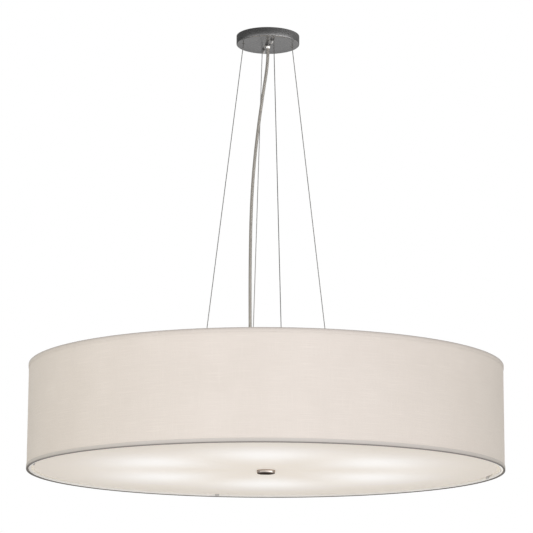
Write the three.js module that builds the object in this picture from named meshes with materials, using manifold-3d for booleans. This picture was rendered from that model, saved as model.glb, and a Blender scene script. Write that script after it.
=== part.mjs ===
// Drum chandelier: a fabric drum shade closed below by a frosted diffuser, with six lamps inside,
// hung on four steel cables and a power cord from a round ceiling canopy.
// Millimetres, +Z up. The origin is on the ceiling plane, at the centre of the mounting bar's back.
import * as THREE from "three";
import { mergeVertices } from "three/addons/utils/BufferGeometryUtils.js";
import Module from "manifold-3d";

const wasm = await Module();
wasm.setup();

// Driving dimensions
const shadeDiameter = 914.4;
const shadeHeight = 202;
const screwSpacing = 69.8; // between the two screws of a ceiling box
const canopyHeight = 18;
const hangingDrop = 853.5; // canopy face to the shade's lower edge
const panDiameter = 290;
const panHeight = 40;
const panDepth = 55; // shade's upper edge down to the pan's lid
const lampCount = 6;
const lampDiameter = 60;
const lampLength = 112;
const cableDiameter = 1.6;
const cordDiameter = 6;
const diffuserThickness = 3;
const diffuserRecess = 5; // shade's lower edge up to the diffuser's underside
const knobDiameter = 35.4;
const knobHeight = 6.8;

// Places shared by several pieces
const hangerAngle = THREE.MathUtils.degToRad(13.6); // turn of the cables, arms and struts about Z
const hangerCount = 4;
const firstLampAngle = THREE.MathUtils.degToRad(30);
const screwToCable = 14.7; // outwards from a screw to where a cable leaves the canopy face
const cableToCanopyEdge = 12.9;
const anchorInset = 12.4; // pan's edge in to where a cable ends above its lid
const screwCircleRadius = screwSpacing / 2;
const cableTopRadius = screwCircleRadius + screwToCable;
const canopyRadius = cableTopRadius + cableToCanopyEdge;
const panRadius = panDiameter / 2;
const cableAnchorRadius = panRadius - anchorInset;
const swingLimit = THREE.MathUtils.degToRad(3); // how far the pendant sways each way

// Fits
const clearance = 0.3; // between pieces that touch
const cutOverrun = 3; // how far a cutting shape runs past what it cuts
const mergeTolerance = 0.0001;

// Smoothness
const shadeSegments = 72;
const roundSegments = 48;
const lampSegments = 16;
const smallSegments = 12;
const cableSides = 8;
const cordSides = 8;
const hexSides = 6;

const ceilingZ = 0;
const faceZ = ceilingZ - canopyHeight;
const shadeBottomZ = faceZ - hangingDrop;
const shadeTopZ = shadeBottomZ + shadeHeight;
const lidTopZ = shadeTopZ - panDepth;

const steel = { color: 0x9a9996, roughness: 0.42, metalness: 0.9 };
const zinc = { color: 0xb9bcc0, roughness: 0.35, metalness: 0.9 };
const nickel = { color: 0x8d8b88, roughness: 0.34, metalness: 1 };
const brightNickel = { color: 0xd9d8d4, roughness: 0.12, metalness: 1 };
const whitePaint = { color: 0xf2f0ec, roughness: 0.5, metalness: 0 };
const phenolic = { color: 0xe9e6dd, roughness: 0.4, metalness: 0 };
const fabricWhite = { color: 0xe8e1d8, roughness: 0.95, metalness: 0 };
const trimWhite = { color: 0xd4cec6, roughness: 0.9, metalness: 0 };
const styrene = { color: 0xf7f5f0, roughness: 0.6, metalness: 0 };
const frosted = { color: 0xf3ede6, roughness: 0.55, metalness: 0 };
const opalGlass = { color: 0xfff8ea, roughness: 0.25, metalness: 0 };
const cordJacket = { color: 0xa8a294, roughness: 0.35, metalness: 0 };
const wireBlack = { color: 0x2b2b2b, roughness: 0.5, metalness: 0 };

const chandelier = new THREE.Group();

// Adds one named piece to the model, in the chandelier's frame or a group's.
function addPiece(name, geometry, look, parent = chandelier) {
  const mesh = new THREE.Mesh(geometry, new THREE.MeshStandardMaterial(look));
  mesh.name = name;
  parent.add(mesh);
  return mesh;
}

// A group turned about Z, for pieces that repeat round the centre line.
function turnedGroup(angle) {
  const group = new THREE.Group();
  group.rotation.z = angle;
  chandelier.add(group);
  return group;
}

// Runs make(group, number) once for each of count places round the centre line.
function repeatRound(count, firstAngle, make) {
  for (let i = 0; i < count; i += 1) {
    make(turnedGroup(firstAngle + (i * 2 * Math.PI) / count), i + 1);
  }
}

// A closed geometry as a solid, with its shared corners merged.
function solidOf(geometry) {
  const bare = new THREE.BufferGeometry();
  bare.setAttribute("position", geometry.getAttribute("position"));
  bare.setIndex(geometry.index);
  const merged = mergeVertices(bare, mergeTolerance);
  const corners = merged.index.array;
  const kept = [];
  for (let i = 0; i < corners.length; i += 3) {
    const [a, b, c] = [corners[i], corners[i + 1], corners[i + 2]];
    if (a !== b && b !== c && c !== a) kept.push(a, b, c);
  }
  return new wasm.Manifold(
    new wasm.Mesh({
      numProp: 3,
      vertProperties: new Float32Array(merged.attributes.position.array),
      triVerts: new Uint32Array(kept),
    }),
  );
}

function geometryOf(solid) {
  const mesh = solid.getMesh();
  const geometry = new THREE.BufferGeometry();
  geometry.setAttribute("position", new THREE.BufferAttribute(mesh.vertProperties, 3));
  geometry.setIndex(new THREE.BufferAttribute(mesh.triVerts, 1));
  geometry.computeVertexNormals();
  return geometry;
}

function joined(...shapes) {
  return geometryOf(shapes.map(solidOf).reduce((whole, next) => whole.add(next)));
}

function cutBy(shape, ...tools) {
  return geometryOf(tools.map(solidOf).reduce((left, tool) => left.subtract(tool), solidOf(shape)));
}

// A turned solid about Z. Its outline of [radius, z] runs up the outside, from axis to axis.
function turned(outline, segments) {
  const points = outline.map(([r, z]) => new THREE.Vector2(r, z));
  return new THREE.LatheGeometry(points, segments).rotateX(Math.PI / 2);
}

// A turned ring about Z. Its outline of [radius, z] closes on itself.
function turnedRing(outline, segments) {
  return turned([...outline, outline[0]], segments);
}

// A pipe or washer about Z.
function pipe(innerRadius, outerRadius, lowZ, highZ, segments) {
  return turnedRing(
    [
      [innerRadius, lowZ],
      [outerRadius, lowZ],
      [outerRadius, highZ],
      [innerRadius, highZ],
    ],
    segments,
  );
}

// A round bar along Z, standing at x, y.
function bar(radius, lowZ, highZ, segments, x = 0, y = 0) {
  return new THREE.CylinderGeometry(radius, radius, highZ - lowZ, segments)
    .rotateX(Math.PI / 2)
    .translate(x, y, (lowZ + highZ) / 2);
}

// A block between two corners.
function block([x0, y0, z0], [x1, y1, z1]) {
  return new THREE.BoxGeometry(x1 - x0, y1 - y0, z1 - z0).translate(
    (x0 + x1) / 2,
    (y0 + y1) / 2,
    (z0 + z1) / 2,
  );
}

// The radius of a polygon whose flats lie at the given distance.
function acrossCorners(flatRadius, sides) {
  return flatRadius / Math.cos(Math.PI / sides);
}

// The distance to the flats of a polygon of the given radius.
function acrossFlats(radius, sides) {
  return radius * Math.cos(Math.PI / sides);
}

// A tube of a regular polygon section along a curve.
function tube(radius, sides, curve, steps) {
  const section = new THREE.Shape();
  for (let i = 0; i < sides; i += 1) {
    const angle = (i * 2 * Math.PI) / sides;
    const [x, y] = [radius * Math.cos(angle), radius * Math.sin(angle)];
    if (i === 0) section.moveTo(x, y);
    else section.lineTo(x, y);
  }
  section.closePath();
  return new THREE.ExtrudeGeometry(section, { steps, bevelEnabled: false, extrudePath: curve });
}

// Points of a circular arc in an outline, from one angle to another.
function arc(centreR, centreZ, radius, fromAngle, toAngle, steps) {
  const points = [];
  for (let i = 0; i <= steps; i += 1) {
    const angle = fromAngle + ((toAngle - fromAngle) * i) / steps;
    points.push([centreR + radius * Math.cos(angle), centreZ + radius * Math.sin(angle)]);
  }
  return points;
}

// Mounting bar: a cross of flat steel that carries the whole chandelier from the ceiling box.
const barWidth = 26;
const barThickness = 2.5;
const barEndMargin = 6.5; // metal beyond a cable gripper's stud
const gripperStudRadius = 3;
const canopyStudRadius = 1.6;
const ceilingScrewRadius = 2.1;
const barBottomZ = ceilingZ - barThickness;
const barReach = cableTopRadius + barEndMargin;

function hole(radius, x, y, lowZ, highZ) {
  return bar(radius, lowZ - cutOverrun, highZ + cutOverrun, smallSegments, x, y);
}

const barArms = joined(
  block([-barReach, -barWidth / 2, barBottomZ], [barReach, barWidth / 2, ceilingZ]),
  block([-barWidth / 2, -barReach, barBottomZ], [barWidth / 2, barReach, ceilingZ]),
);
const cablePlaces = [
  [cableTopRadius, 0],
  [0, cableTopRadius],
  [-cableTopRadius, 0],
  [0, -cableTopRadius],
];
const gripperHoles = cablePlaces.map(([x, y]) =>
  hole(gripperStudRadius + clearance, x, y, barBottomZ, ceilingZ),
);
const ceilingScrewHoles = [screwCircleRadius, -screwCircleRadius].map((x) =>
  hole(ceilingScrewRadius + clearance, x, 0, barBottomZ, ceilingZ),
);
const canopyStudHoles = [screwCircleRadius, -screwCircleRadius].map((y) =>
  hole(canopyStudRadius + clearance, 0, y, barBottomZ, ceilingZ),
);
const hangerFrame = turnedGroup(hangerAngle);
addPiece(
  "mounting_bar",
  cutBy(barArms, ...gripperHoles, ...ceilingScrewHoles, ...canopyStudHoles),
  zinc,
  hangerFrame,
);

// Ceiling screws: pan heads below the bar, shanks up into the ceiling box.
const ceilingScrewReach = 10;
const screwHeadRadius = 4;
const screwHeadHeight = 2.8;
const screwHeadFlatShare = 0.7;
const screwHeadTopZ = barBottomZ - clearance;
[screwCircleRadius, -screwCircleRadius].forEach((x, i) => {
  const screw = turned(
    [
      [0, screwHeadTopZ - screwHeadHeight],
      [screwHeadRadius * screwHeadFlatShare, screwHeadTopZ - screwHeadHeight],
      [screwHeadRadius, screwHeadTopZ - screwHeadHeight / 2],
      [screwHeadRadius, screwHeadTopZ],
      [ceilingScrewRadius, screwHeadTopZ],
      [ceilingScrewRadius, ceilingZ + ceilingScrewReach],
      [0, ceilingZ + ceilingScrewReach],
    ],
    smallSegments,
  );
  addPiece(`ceiling_screw_${i + 1}`, screw, zinc, hangerFrame).position.x = x;
});

// Canopy cover: a shallow spun cup with a rounded lower edge.
const canopyWall = 1;
const canopyEdgeRadius = 2.6;
const canopyEdgeSteps = 4;
const gripperNoseRadius = 3.2;
const cordRadius = cordDiameter / 2;
const cordGripNeckWall = 1.7;
const cordGripNeckRadius = cordRadius + clearance + cordGripNeckWall;
const canopyFloorZ = faceZ + canopyWall;
const edgeCentreR = canopyRadius - canopyEdgeRadius;
const edgeCentreZ = faceZ + canopyEdgeRadius;
const canopyCup = turned(
  [
    [0, faceZ],
    ...arc(edgeCentreR, edgeCentreZ, canopyEdgeRadius, -Math.PI / 2, 0, canopyEdgeSteps),
    [canopyRadius, ceilingZ],
    [canopyRadius - canopyWall, ceilingZ],
    ...arc(edgeCentreR, edgeCentreZ, canopyEdgeRadius - canopyWall, 0, -Math.PI / 2, canopyEdgeSteps),
    [0, canopyFloorZ],
  ],
  roundSegments,
);
const noseHoles = cablePlaces.map(([x, y]) =>
  hole(gripperNoseRadius + clearance, x, y, faceZ, canopyFloorZ),
);
const studHoles = [screwCircleRadius, -screwCircleRadius].map((y) =>
  hole(canopyStudRadius + clearance, 0, y, faceZ, canopyFloorZ),
);
const cordHole = hole(cordGripNeckRadius + clearance, 0, 0, faceZ, canopyFloorZ);
addPiece("canopy_cover", cutBy(canopyCup, ...noseHoles, ...studHoles, cordHole), nickel, hangerFrame);

// Canopy studs and the ball nuts that hold the cover up on them.
const ballNutCollarRadius = 3.4;
const ballNutCollarHeight = 2.4;
const ballNutRadius = 3.1;
const ballNutDepth = 5; // how far the stud runs into the nut
const ballNutSteps = 5;
const ballNutTopZ = faceZ - clearance;
const collarBottomZ = ballNutTopZ - ballNutCollarHeight;
const collarMeetAngle = THREE.MathUtils.degToRad(36);
const ballCentreZ = collarBottomZ - ballNutRadius * Math.sin(collarMeetAngle);
[screwCircleRadius, -screwCircleRadius].forEach((y, i) => {
  const stud = bar(canopyStudRadius, faceZ - ballNutDepth, ceilingZ - clearance, smallSegments);
  addPiece(`canopy_stud_${i + 1}`, stud, zinc, hangerFrame).position.y = y;
  const ball = turned(
    [
      ...arc(0, ballCentreZ, ballNutRadius, -Math.PI / 2, collarMeetAngle, ballNutSteps),
      [ballNutCollarRadius, collarBottomZ],
      [ballNutCollarRadius, ballNutTopZ],
      [0, ballNutTopZ],
    ],
    smallSegments,
  );
  const bore = hole(
    acrossCorners(canopyStudRadius + clearance, smallSegments),
    0,
    0,
    faceZ - ballNutDepth - clearance + cutOverrun,
    ballNutTopZ,
  );
  addPiece(`ball_nut_${i + 1}`, cutBy(ball, bore), brightNickel, hangerFrame).position.y = y;
});

// Cables: each runs straight from its gripper's nose to its anchor on the pan's lid.
const cableRadius = cableDiameter / 2;
const cableGripDepth = 3; // cable inside the gripper's nose
const anchorHeight = 12;
const cableAnchorDepth = 5; // cable inside its anchor
const anchorTopZ = lidTopZ + anchorHeight;
const cableEndZ = anchorTopZ - cableAnchorDepth;
const cableLean = Math.atan2(cableAnchorRadius - cableTopRadius, faceZ - cableEndZ);
const cableAxis = new THREE.Vector3(Math.sin(cableLean), 0, -Math.cos(cableLean));
const cableTop = new THREE.Vector3(cableTopRadius, 0, faceZ).addScaledVector(cableAxis, -cableGripDepth);
const cableEnd = new THREE.Vector3(cableAnchorRadius, 0, cableEndZ);
const cableLength = cableTop.distanceTo(cableEnd);

// A bar along a cable's own line, in the plane of its group.
function barOnCable(radius, sides, from, to) {
  return new THREE.CylinderGeometry(radius, radius, to - from, sides)
    .rotateX(Math.PI / 2)
    .translate(0, 0, -(from + to) / 2)
    .rotateY(-cableLean)
    .translate(cableTop.x, 0, cableTop.z);
}

repeatRound(hangerCount, hangerAngle, (group, number) => {
  addPiece(`cable_${number}`, barOnCable(cableRadius, cableSides, 0, cableLength), steel, group);
});

// Cable grippers: barrels on studs in the mounting bar, their noses flush with the canopy face.
const gripperBarrelRadius = 4.6;
const gripperNoseStand = 0.5; // nose below the canopy face
const noseBoreRadius =
  cableRadius + cableGripDepth * Math.tan(cableLean + 2 * swingLimit) + clearance;
const barrelTopZ = barBottomZ - clearance;
const barrelBottomZ = canopyFloorZ + clearance;
const gripper = cutBy(
  turned(
    [
      [0, faceZ - gripperNoseStand],
      [gripperNoseRadius, faceZ - gripperNoseStand],
      [gripperNoseRadius, barrelBottomZ],
      [gripperBarrelRadius, barrelBottomZ],
      [gripperBarrelRadius, barrelTopZ],
      [gripperStudRadius, barrelTopZ],
      [gripperStudRadius, ceilingZ - clearance],
      [0, ceilingZ - clearance],
    ],
    smallSegments,
  ),
  hole(noseBoreRadius, 0, 0, faceZ, ceilingZ),
).translate(cableTopRadius, 0, 0);
repeatRound(hangerCount, hangerAngle, (group, number) => {
  addPiece(`cable_gripper_${number}`, gripper.clone(), nickel, group);
});

// Cord grip: a gland through the middle of the canopy, with its locknut inside.
const cordBore = acrossCorners(cordRadius + clearance, smallSegments);
const cordGripHexWall = 1.4; // the hexagon's corners beyond the neck
const cordGripHexRadius = cordGripNeckRadius + cordGripHexWall;
const cordGripHexHeight = 3.4;
const cordGripDomeInset = 1;
const cordGripDomeRadius = cordGripHexRadius - cordGripDomeInset;
const cordGripDomeHeight = 4.4;
const cordGripMouthShare = 0.72;
const cordGripNeckLength = 5.4;
const locknutWall = 2.6;
const locknutRadius = cordGripNeckRadius + locknutWall;
const locknutHeight = 3;

// A gland about Z with its flange at seatZ. The dome points along -Z, the neck up through a wall.
function cordGland(seatZ, wall) {
  const hexBottomZ = seatZ - cordGripHexHeight;
  const domeBottomZ = hexBottomZ - cordGripDomeHeight;
  const neckTopZ = seatZ + wall + cordGripNeckLength;
  const body = joined(
    bar(cordGripHexRadius, hexBottomZ, seatZ, hexSides),
    turned(
      [
        [0, domeBottomZ],
        [cordGripDomeRadius * cordGripMouthShare, domeBottomZ],
        [cordGripDomeRadius, domeBottomZ + cordGripDomeHeight / 2],
        [cordGripDomeRadius, hexBottomZ + clearance],
        [0, hexBottomZ + clearance],
      ],
      smallSegments,
    ),
    bar(cordGripNeckRadius, seatZ - clearance, neckTopZ, smallSegments),
  );
  return cutBy(body, hole(cordBore, 0, 0, domeBottomZ, neckTopZ));
}

addPiece("cord_grip", cordGland(faceZ - clearance, canopyWall + clearance), nickel);
const locknutLowZ = canopyFloorZ + clearance;
addPiece(
  "cord_grip_nut",
  cutBy(
    bar(locknutRadius, locknutLowZ, locknutLowZ + locknutHeight, hexSides),
    hole(
      acrossCorners(cordGripNeckRadius + clearance, smallSegments),
      0,
      0,
      locknutLowZ,
      locknutLowZ + locknutHeight,
    ),
  ),
  zinc,
);

// Power cord: down through the canopy's gland, slack beside the cables, and into the lamp pan.
const cordRoute = [
  [0, 0, -8.5],
  [0, 0, -20],
  [0, 0, -32],
  [-0.3, 0, -46],
  [-1.5, -0.2, -62],
  [-3.6, -0.5, -80],
  [-6.4, -0.9, -100],
  [-9.8, -1.4, -124],
  [-13.6, -2, -152],
  [-17.6, -2.8, -184],
  [-21.6, -3.6, -220],
  [-25.2, -4.4, -258],
  [-28.2, -5.2, -298],
  [-30.4, -6, -342],
  [-31.7, -6.6, -388],
  [-32.3, -7.1, -436],
  [-32.5, -7.4, -486],
  [-32.3, -7.6, -536],
  [-31.9, -7.6, -584],
  [-31.5, -7.5, -630],
  [-31.2, -7.5, -670],
  [-31.1, -7.5, -700],
  [-31.1, -7.5, -718],
  [-31.1, -7.5, -734],
];
const cordSteps = 48;
const cordCurve = new THREE.CatmullRomCurve3(cordRoute.map((point) => new THREE.Vector3(...point)));
addPiece("power_cord", tube(cordRadius, cordSides, cordCurve, cordSteps), cordJacket);
const [cordEndX, cordEndY, cordEndZ] = cordRoute.at(-1);
const cordStartZ = cordRoute[0][2];

// Wire connector: the cord's leads run up and over to a connector that lies on the canopy floor.
const leadRadius = 1.2;
const leadSteps = 8;
const connectorLength = 14;
const connectorWidth = 9;
const connectorHeight = 5;
const connectorRadius = 24; // its middle, from the centre line
const leadTopZ = barBottomZ - clearance - leadRadius;
const leadStartZ = cordStartZ + clearance;
const leadRiseShare = 0.1;
const leadLevelShare = 0.45;
const leadDropShare = 0.8;
const connectorLowZ = canopyFloorZ + clearance;
const connectorTopZ = connectorLowZ + connectorHeight;
const leadCurve = new THREE.CatmullRomCurve3([
  new THREE.Vector3(0, 0, leadStartZ),
  new THREE.Vector3(0, 0, leadStartZ + leadRadius),
  new THREE.Vector3(connectorRadius * leadRiseShare, 0, leadTopZ - leadRadius / 2),
  new THREE.Vector3(connectorRadius * leadLevelShare, 0, leadTopZ),
  new THREE.Vector3(connectorRadius * leadDropShare, 0, connectorTopZ + leadRadius / 2),
  new THREE.Vector3(connectorRadius, 0, (connectorLowZ + connectorTopZ) / 2),
]);
const connector = joined(
  tube(leadRadius, hexSides, leadCurve, leadSteps),
  block(
    [connectorRadius - connectorLength / 2, -connectorWidth / 2, connectorLowZ],
    [connectorRadius + connectorLength / 2, connectorWidth / 2, connectorTopZ],
  ),
);
const connectorAngle = hangerAngle + Math.PI + Math.PI / hangerCount;
addPiece("wire_connector", connector, wireBlack, turnedGroup(connectorAngle));

// Lamp pan: a round steel pan under a flat lid. It holds the wiring, the lamps and the centre rod.
const panWall = 1.2;
const lidThickness = 1.5;
const lidBottomZ = lidTopZ - lidThickness;
const panTopZ = lidBottomZ - clearance;
const panBottomZ = panTopZ - panHeight;
const panFloorZ = panBottomZ + panWall;
const lampAxisZ = (panTopZ + panBottomZ) / 2;
const rodRadius = 4.85;
const socketNippleRadius = 7.5;

// A round cutter through the pan's side, in the direction of a lamp.
function sideHole(radius, angle) {
  return new THREE.CylinderGeometry(radius, radius, panWall + 2 * cutOverrun, smallSegments)
    .rotateZ(Math.PI / 2)
    .translate(panRadius - panWall / 2, 0, lampAxisZ)
    .rotateZ(angle);
}

const lampAngles = Array.from(
  { length: lampCount },
  (_, i) => firstLampAngle + (i * 2 * Math.PI) / lampCount,
);
const panCup = turned(
  [
    [0, panBottomZ],
    [panRadius, panBottomZ],
    [panRadius, panTopZ],
    [panRadius - panWall, panTopZ],
    [panRadius - panWall, panFloorZ],
    [0, panFloorZ],
  ],
  roundSegments,
);
const rodHole = hole(
  acrossCorners(rodRadius + clearance, smallSegments),
  0,
  0,
  panBottomZ,
  panFloorZ,
);
const socketHoles = lampAngles.map((angle) =>
  sideHole(acrossCorners(socketNippleRadius + clearance, smallSegments), angle),
);
addPiece("lamp_pan", cutBy(panCup, rodHole, ...socketHoles), whitePaint);

// Pan lid, with holes for the cable anchors and the cord grip.
const anchorStudRadius = 2.6;
const anchorHoles = Array.from({ length: hangerCount }, (_, i) => {
  const angle = hangerAngle + (i * 2 * Math.PI) / hangerCount;
  const [x, y] = [cableAnchorRadius * Math.cos(angle), cableAnchorRadius * Math.sin(angle)];
  return hole(
    acrossCorners(anchorStudRadius + clearance, smallSegments),
    x,
    y,
    lidBottomZ,
    lidTopZ,
  );
});
const lidCordHole = hole(
  acrossCorners(cordGripNeckRadius + clearance, smallSegments),
  cordEndX,
  cordEndY,
  lidBottomZ,
  lidTopZ,
);
addPiece(
  "pan_lid",
  cutBy(bar(panRadius, lidBottomZ, lidTopZ, roundSegments), ...anchorHoles, lidCordHole),
  whitePaint,
);

// The pan's cord grip is the canopy's gland turned over, dome up.
const panGrip = cordGland(-lidTopZ - clearance, lidThickness + clearance)
  .rotateX(Math.PI)
  .translate(cordEndX, cordEndY, 0);
addPiece("pan_cord_grip", panGrip, nickel);

// Cable anchors: flanged ferrules on the lid. Each bore follows the cable's line, with room to sway.
const anchorFlangeRadius = 6;
const anchorFlangeHeight = 2;
const anchorBarrelRadius = 4;
const anchorStudLength = 6;
const anchorBoreClearance = 0.7;
const anchorSeatZ = lidTopZ + clearance;
const anchorBody = turned(
  [
    [0, lidBottomZ - anchorStudLength],
    [anchorStudRadius, lidBottomZ - anchorStudLength],
    [anchorStudRadius, anchorSeatZ],
    [anchorFlangeRadius, anchorSeatZ],
    [anchorFlangeRadius, anchorSeatZ + anchorFlangeHeight],
    [anchorBarrelRadius, anchorSeatZ + anchorFlangeHeight],
    [anchorBarrelRadius, anchorTopZ],
    [0, anchorTopZ],
  ],
  smallSegments,
).translate(cableAnchorRadius, 0, 0);
const anchorBore = barOnCable(
  acrossCorners(cableRadius + anchorBoreClearance, smallSegments),
  smallSegments,
  cableLength - cableAnchorDepth - cutOverrun,
  cableLength + clearance,
);
const anchor = cutBy(anchorBody, anchorBore);
repeatRound(hangerCount, hangerAngle, (group, number) => {
  addPiece(`cable_anchor_${number}`, anchor.clone(), nickel, group);
});

// Shade wall, from outside to inside: trim, fabric, styrene liner, trim's inner leg, wire ring.
const trimThickness = 0.6;
const fabricThickness = 0.6;
const linerThickness = 1;
const ringWireRadius = 2.5;
const trimOuterLeg = 9;
const trimInnerLeg = 6;
const ringSides = 6;
const shadeRadius = shadeDiameter / 2;
const fabricRadius = shadeRadius - trimThickness - clearance;
const linerRadius = fabricRadius - fabricThickness - clearance;
const linerInnerRadius = linerRadius - linerThickness;
const trimLegRadius = linerInnerRadius - clearance;
const trimInnerRadius = trimLegRadius - trimThickness;
const ringRadius = trimInnerRadius - clearance - ringWireRadius;
const wallEndGap = trimThickness + clearance;
const wallBottomZ = shadeBottomZ + wallEndGap;
const wallTopZ = shadeTopZ - wallEndGap;
addPiece(
  "shade_fabric",
  pipe(fabricRadius - fabricThickness, fabricRadius, wallBottomZ, wallTopZ, shadeSegments),
  fabricWhite,
);
addPiece(
  "shade_liner",
  pipe(linerInnerRadius, linerRadius, wallBottomZ, wallTopZ, shadeSegments),
  styrene,
);

// A trim channel folded over one edge of the shade. up is 1 at the lower edge and -1 at the upper.
function trimChannel(edgeZ, up) {
  const outline = [
    [trimInnerRadius, edgeZ],
    [shadeRadius, edgeZ],
    [shadeRadius, edgeZ + up * trimOuterLeg],
    [shadeRadius - trimThickness, edgeZ + up * trimOuterLeg],
    [shadeRadius - trimThickness, edgeZ + up * trimThickness],
    [trimLegRadius, edgeZ + up * trimThickness],
    [trimLegRadius, edgeZ + up * trimInnerLeg],
    [trimInnerRadius, edgeZ + up * trimInnerLeg],
  ];
  return turnedRing(up > 0 ? outline : outline.reverse(), shadeSegments);
}

addPiece("bottom_trim", trimChannel(shadeBottomZ, 1), trimWhite);
addPiece("top_trim", trimChannel(shadeTopZ, -1), trimWhite);

const topRingZ = wallTopZ - ringWireRadius;
const bottomRingZ = wallBottomZ + ringWireRadius;
function wireRing(z) {
  const outline = arc(ringRadius, z, ringWireRadius, 0, 2 * Math.PI, ringSides).slice(0, ringSides);
  return turnedRing(outline, shadeSegments);
}
addPiece("top_ring", wireRing(topRingZ), steel);
addPiece("bottom_ring", wireRing(bottomRingZ), steel);

// Spider arms: from the pan's side out and up to sit under the top ring, which they carry.
const armRadius = 2.5;
const armSides = 8;
const armSteps = 14;
const armRootDrop = 9; // lid top down to an arm's inner end
const armFlat = 24; // level stretch at each end of an arm
const armStartR = panRadius + clearance;
const armEndR = ringRadius + ringWireRadius / 2;
const armRootZ = lidTopZ - armRootDrop;
const armEndZ = topRingZ - ringWireRadius - clearance - armRadius;
const armCurve = new THREE.CatmullRomCurve3(
  [
    [armStartR, armRootZ],
    [armStartR + armFlat / 2, armRootZ],
    [armStartR + armFlat, armRootZ],
    [armEndR - armFlat, armEndZ],
    [armEndR - armFlat / 2, armEndZ],
    [armEndR, armEndZ],
  ].map(([r, z]) => new THREE.Vector3(r, 0, z)),
);
const arm = tube(armRadius, armSides, armCurve, armSteps);
repeatRound(hangerCount, hangerAngle, (group, number) => {
  addPiece(`spider_arm_${number}`, arm.clone(), steel, group);
});

// Struts: from under each arm's end down to the bottom ring, with a guide foot at the diffuser's edge.
const strutRadius = 2;
const footWidth = 8;
const footThickness = 3.2;
const footDrop = 1; // foot's tip above the shade's lower edge
const strutTopZ = armEndZ - armRadius - clearance;
const strutLowZ = bottomRingZ + ringWireRadius + clearance;
const footOuterR = acrossFlats(ringRadius - ringWireRadius, shadeSegments) - clearance;
const footInnerR = footOuterR - footThickness;
const strut = joined(
  bar(strutRadius, strutLowZ, strutTopZ, smallSegments, ringRadius, 0),
  block(
    [footInnerR, -footWidth / 2, strutLowZ],
    [ringRadius, footWidth / 2, strutLowZ + footThickness],
  ),
  block(
    [footInnerR, -footWidth / 2, shadeBottomZ + footDrop],
    [footOuterR, footWidth / 2, strutLowZ + footThickness],
  ),
);
repeatRound(hangerCount, hangerAngle, (group, number) => {
  addPiece(`shade_strut_${number}`, strut.clone(), steel, group);
});

// Lampholders: cups on the pan's side that point outwards, each with a nipple through the wall.
const lampBaseRadius = 13.1;
const lampBaseLength = 25;
const lampContactRadius = 4;
const lampContactHeight = 1.6;
const lampShoulderHeight = 1.6;
const socketWall = 3.2;
const socketBack = 7;
const socketLip = 1.4;
const socketLipHeight = 2.8;
const nippleReach = 5;
const socketBore = acrossCorners(lampBaseRadius + clearance, lampSegments);
const socketRadius = socketBore + socketWall;
const socketBackX = panRadius + clearance;
const socketFloorX = socketBackX + socketBack;
const socketMouthX = socketFloorX + lampBaseLength;
const socketOutline = turned(
  [
    [0, socketBackX - panWall - nippleReach],
    [socketNippleRadius, socketBackX - panWall - nippleReach],
    [socketNippleRadius, socketBackX],
    [socketRadius - socketLip, socketBackX],
    [socketRadius - socketLip, socketMouthX - socketLipHeight - socketLip],
    [socketRadius, socketMouthX - socketLipHeight],
    [socketRadius, socketMouthX],
    [socketBore, socketMouthX],
    [socketBore, socketFloorX],
    [0, socketFloorX],
  ],
  lampSegments,
);

// Lays a solid made about Z along +X, at the lamps' height.
function layAlongX(geometry) {
  return geometry.rotateY(Math.PI / 2).translate(0, 0, lampAxisZ);
}

const socket = layAlongX(socketOutline);
repeatRound(lampCount, firstLampAngle, (group, number) => {
  addPiece(`lamp_socket_${number}`, socket.clone(), phenolic, group);
});

// Lamps: round-ended bulbs on screw bases.
const lampTipX = socketFloorX + clearance;
const lampEndX = lampTipX + lampLength;
const lampRadius = lampDiameter / 2;
const bulbCentreX = lampEndX - lampRadius;
const lampNeckInset = 1.2;
const neckRadius = lampBaseRadius - lampNeckInset;
const neckX = lampTipX + lampBaseLength + lampContactHeight;
const bulbArcSteps = 6;
const neckMeetAngle = -THREE.MathUtils.degToRad(42);
const lamp = layAlongX(
  turned(
    [
      [0, lampTipX],
      [lampContactRadius, lampTipX],
      [lampContactRadius, lampTipX + lampContactHeight],
      [lampBaseRadius, lampTipX + lampContactHeight + lampShoulderHeight],
      [lampBaseRadius, neckX - lampContactHeight],
      [neckRadius, neckX],
      ...arc(0, bulbCentreX, lampRadius, neckMeetAngle, Math.PI / 2, bulbArcSteps).slice(0, -1),
      [0, lampEndX],
    ],
    lampSegments,
  ),
);
repeatRound(lampCount, firstLampAngle, (group, number) => {
  addPiece(`lamp_${number}`, lamp.clone(), opalGlass, group);
});

// Wiring harness: a loop inside the pan with a spur to each lampholder and one to the cord.
const harnessRadius = 2;
const harnessInset = 29; // pan's edge in to the loop's wire
const harnessLoopRadius = panRadius - harnessInset;
const harnessLoop = turnedRing(
  arc(harnessLoopRadius, lampAxisZ, harnessRadius, 0, 2 * Math.PI, hexSides).slice(0, hexSides),
  roundSegments,
);
const nippleEndX = socketBackX - panWall - nippleReach;
function harnessSpur(fromR, toR, angle) {
  return bar(harnessRadius, fromR, toR, hexSides)
    .rotateY(Math.PI / 2)
    .translate(0, 0, lampAxisZ)
    .rotateZ(angle);
}
const cordEndR = Math.hypot(cordEndX, cordEndY);
const cordEndAngle = Math.atan2(cordEndY, cordEndX);
const harness = joined(
  harnessLoop,
  ...lampAngles.map((angle) => harnessSpur(harnessLoopRadius, nippleEndX - clearance, angle)),
  harnessSpur(cordEndR - harnessRadius, harnessLoopRadius, cordEndAngle),
  bar(harnessRadius, lampAxisZ, cordEndZ - clearance, hexSides, cordEndX, cordEndY),
);
addPiece("wiring_harness", harness, wireBlack);

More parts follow.
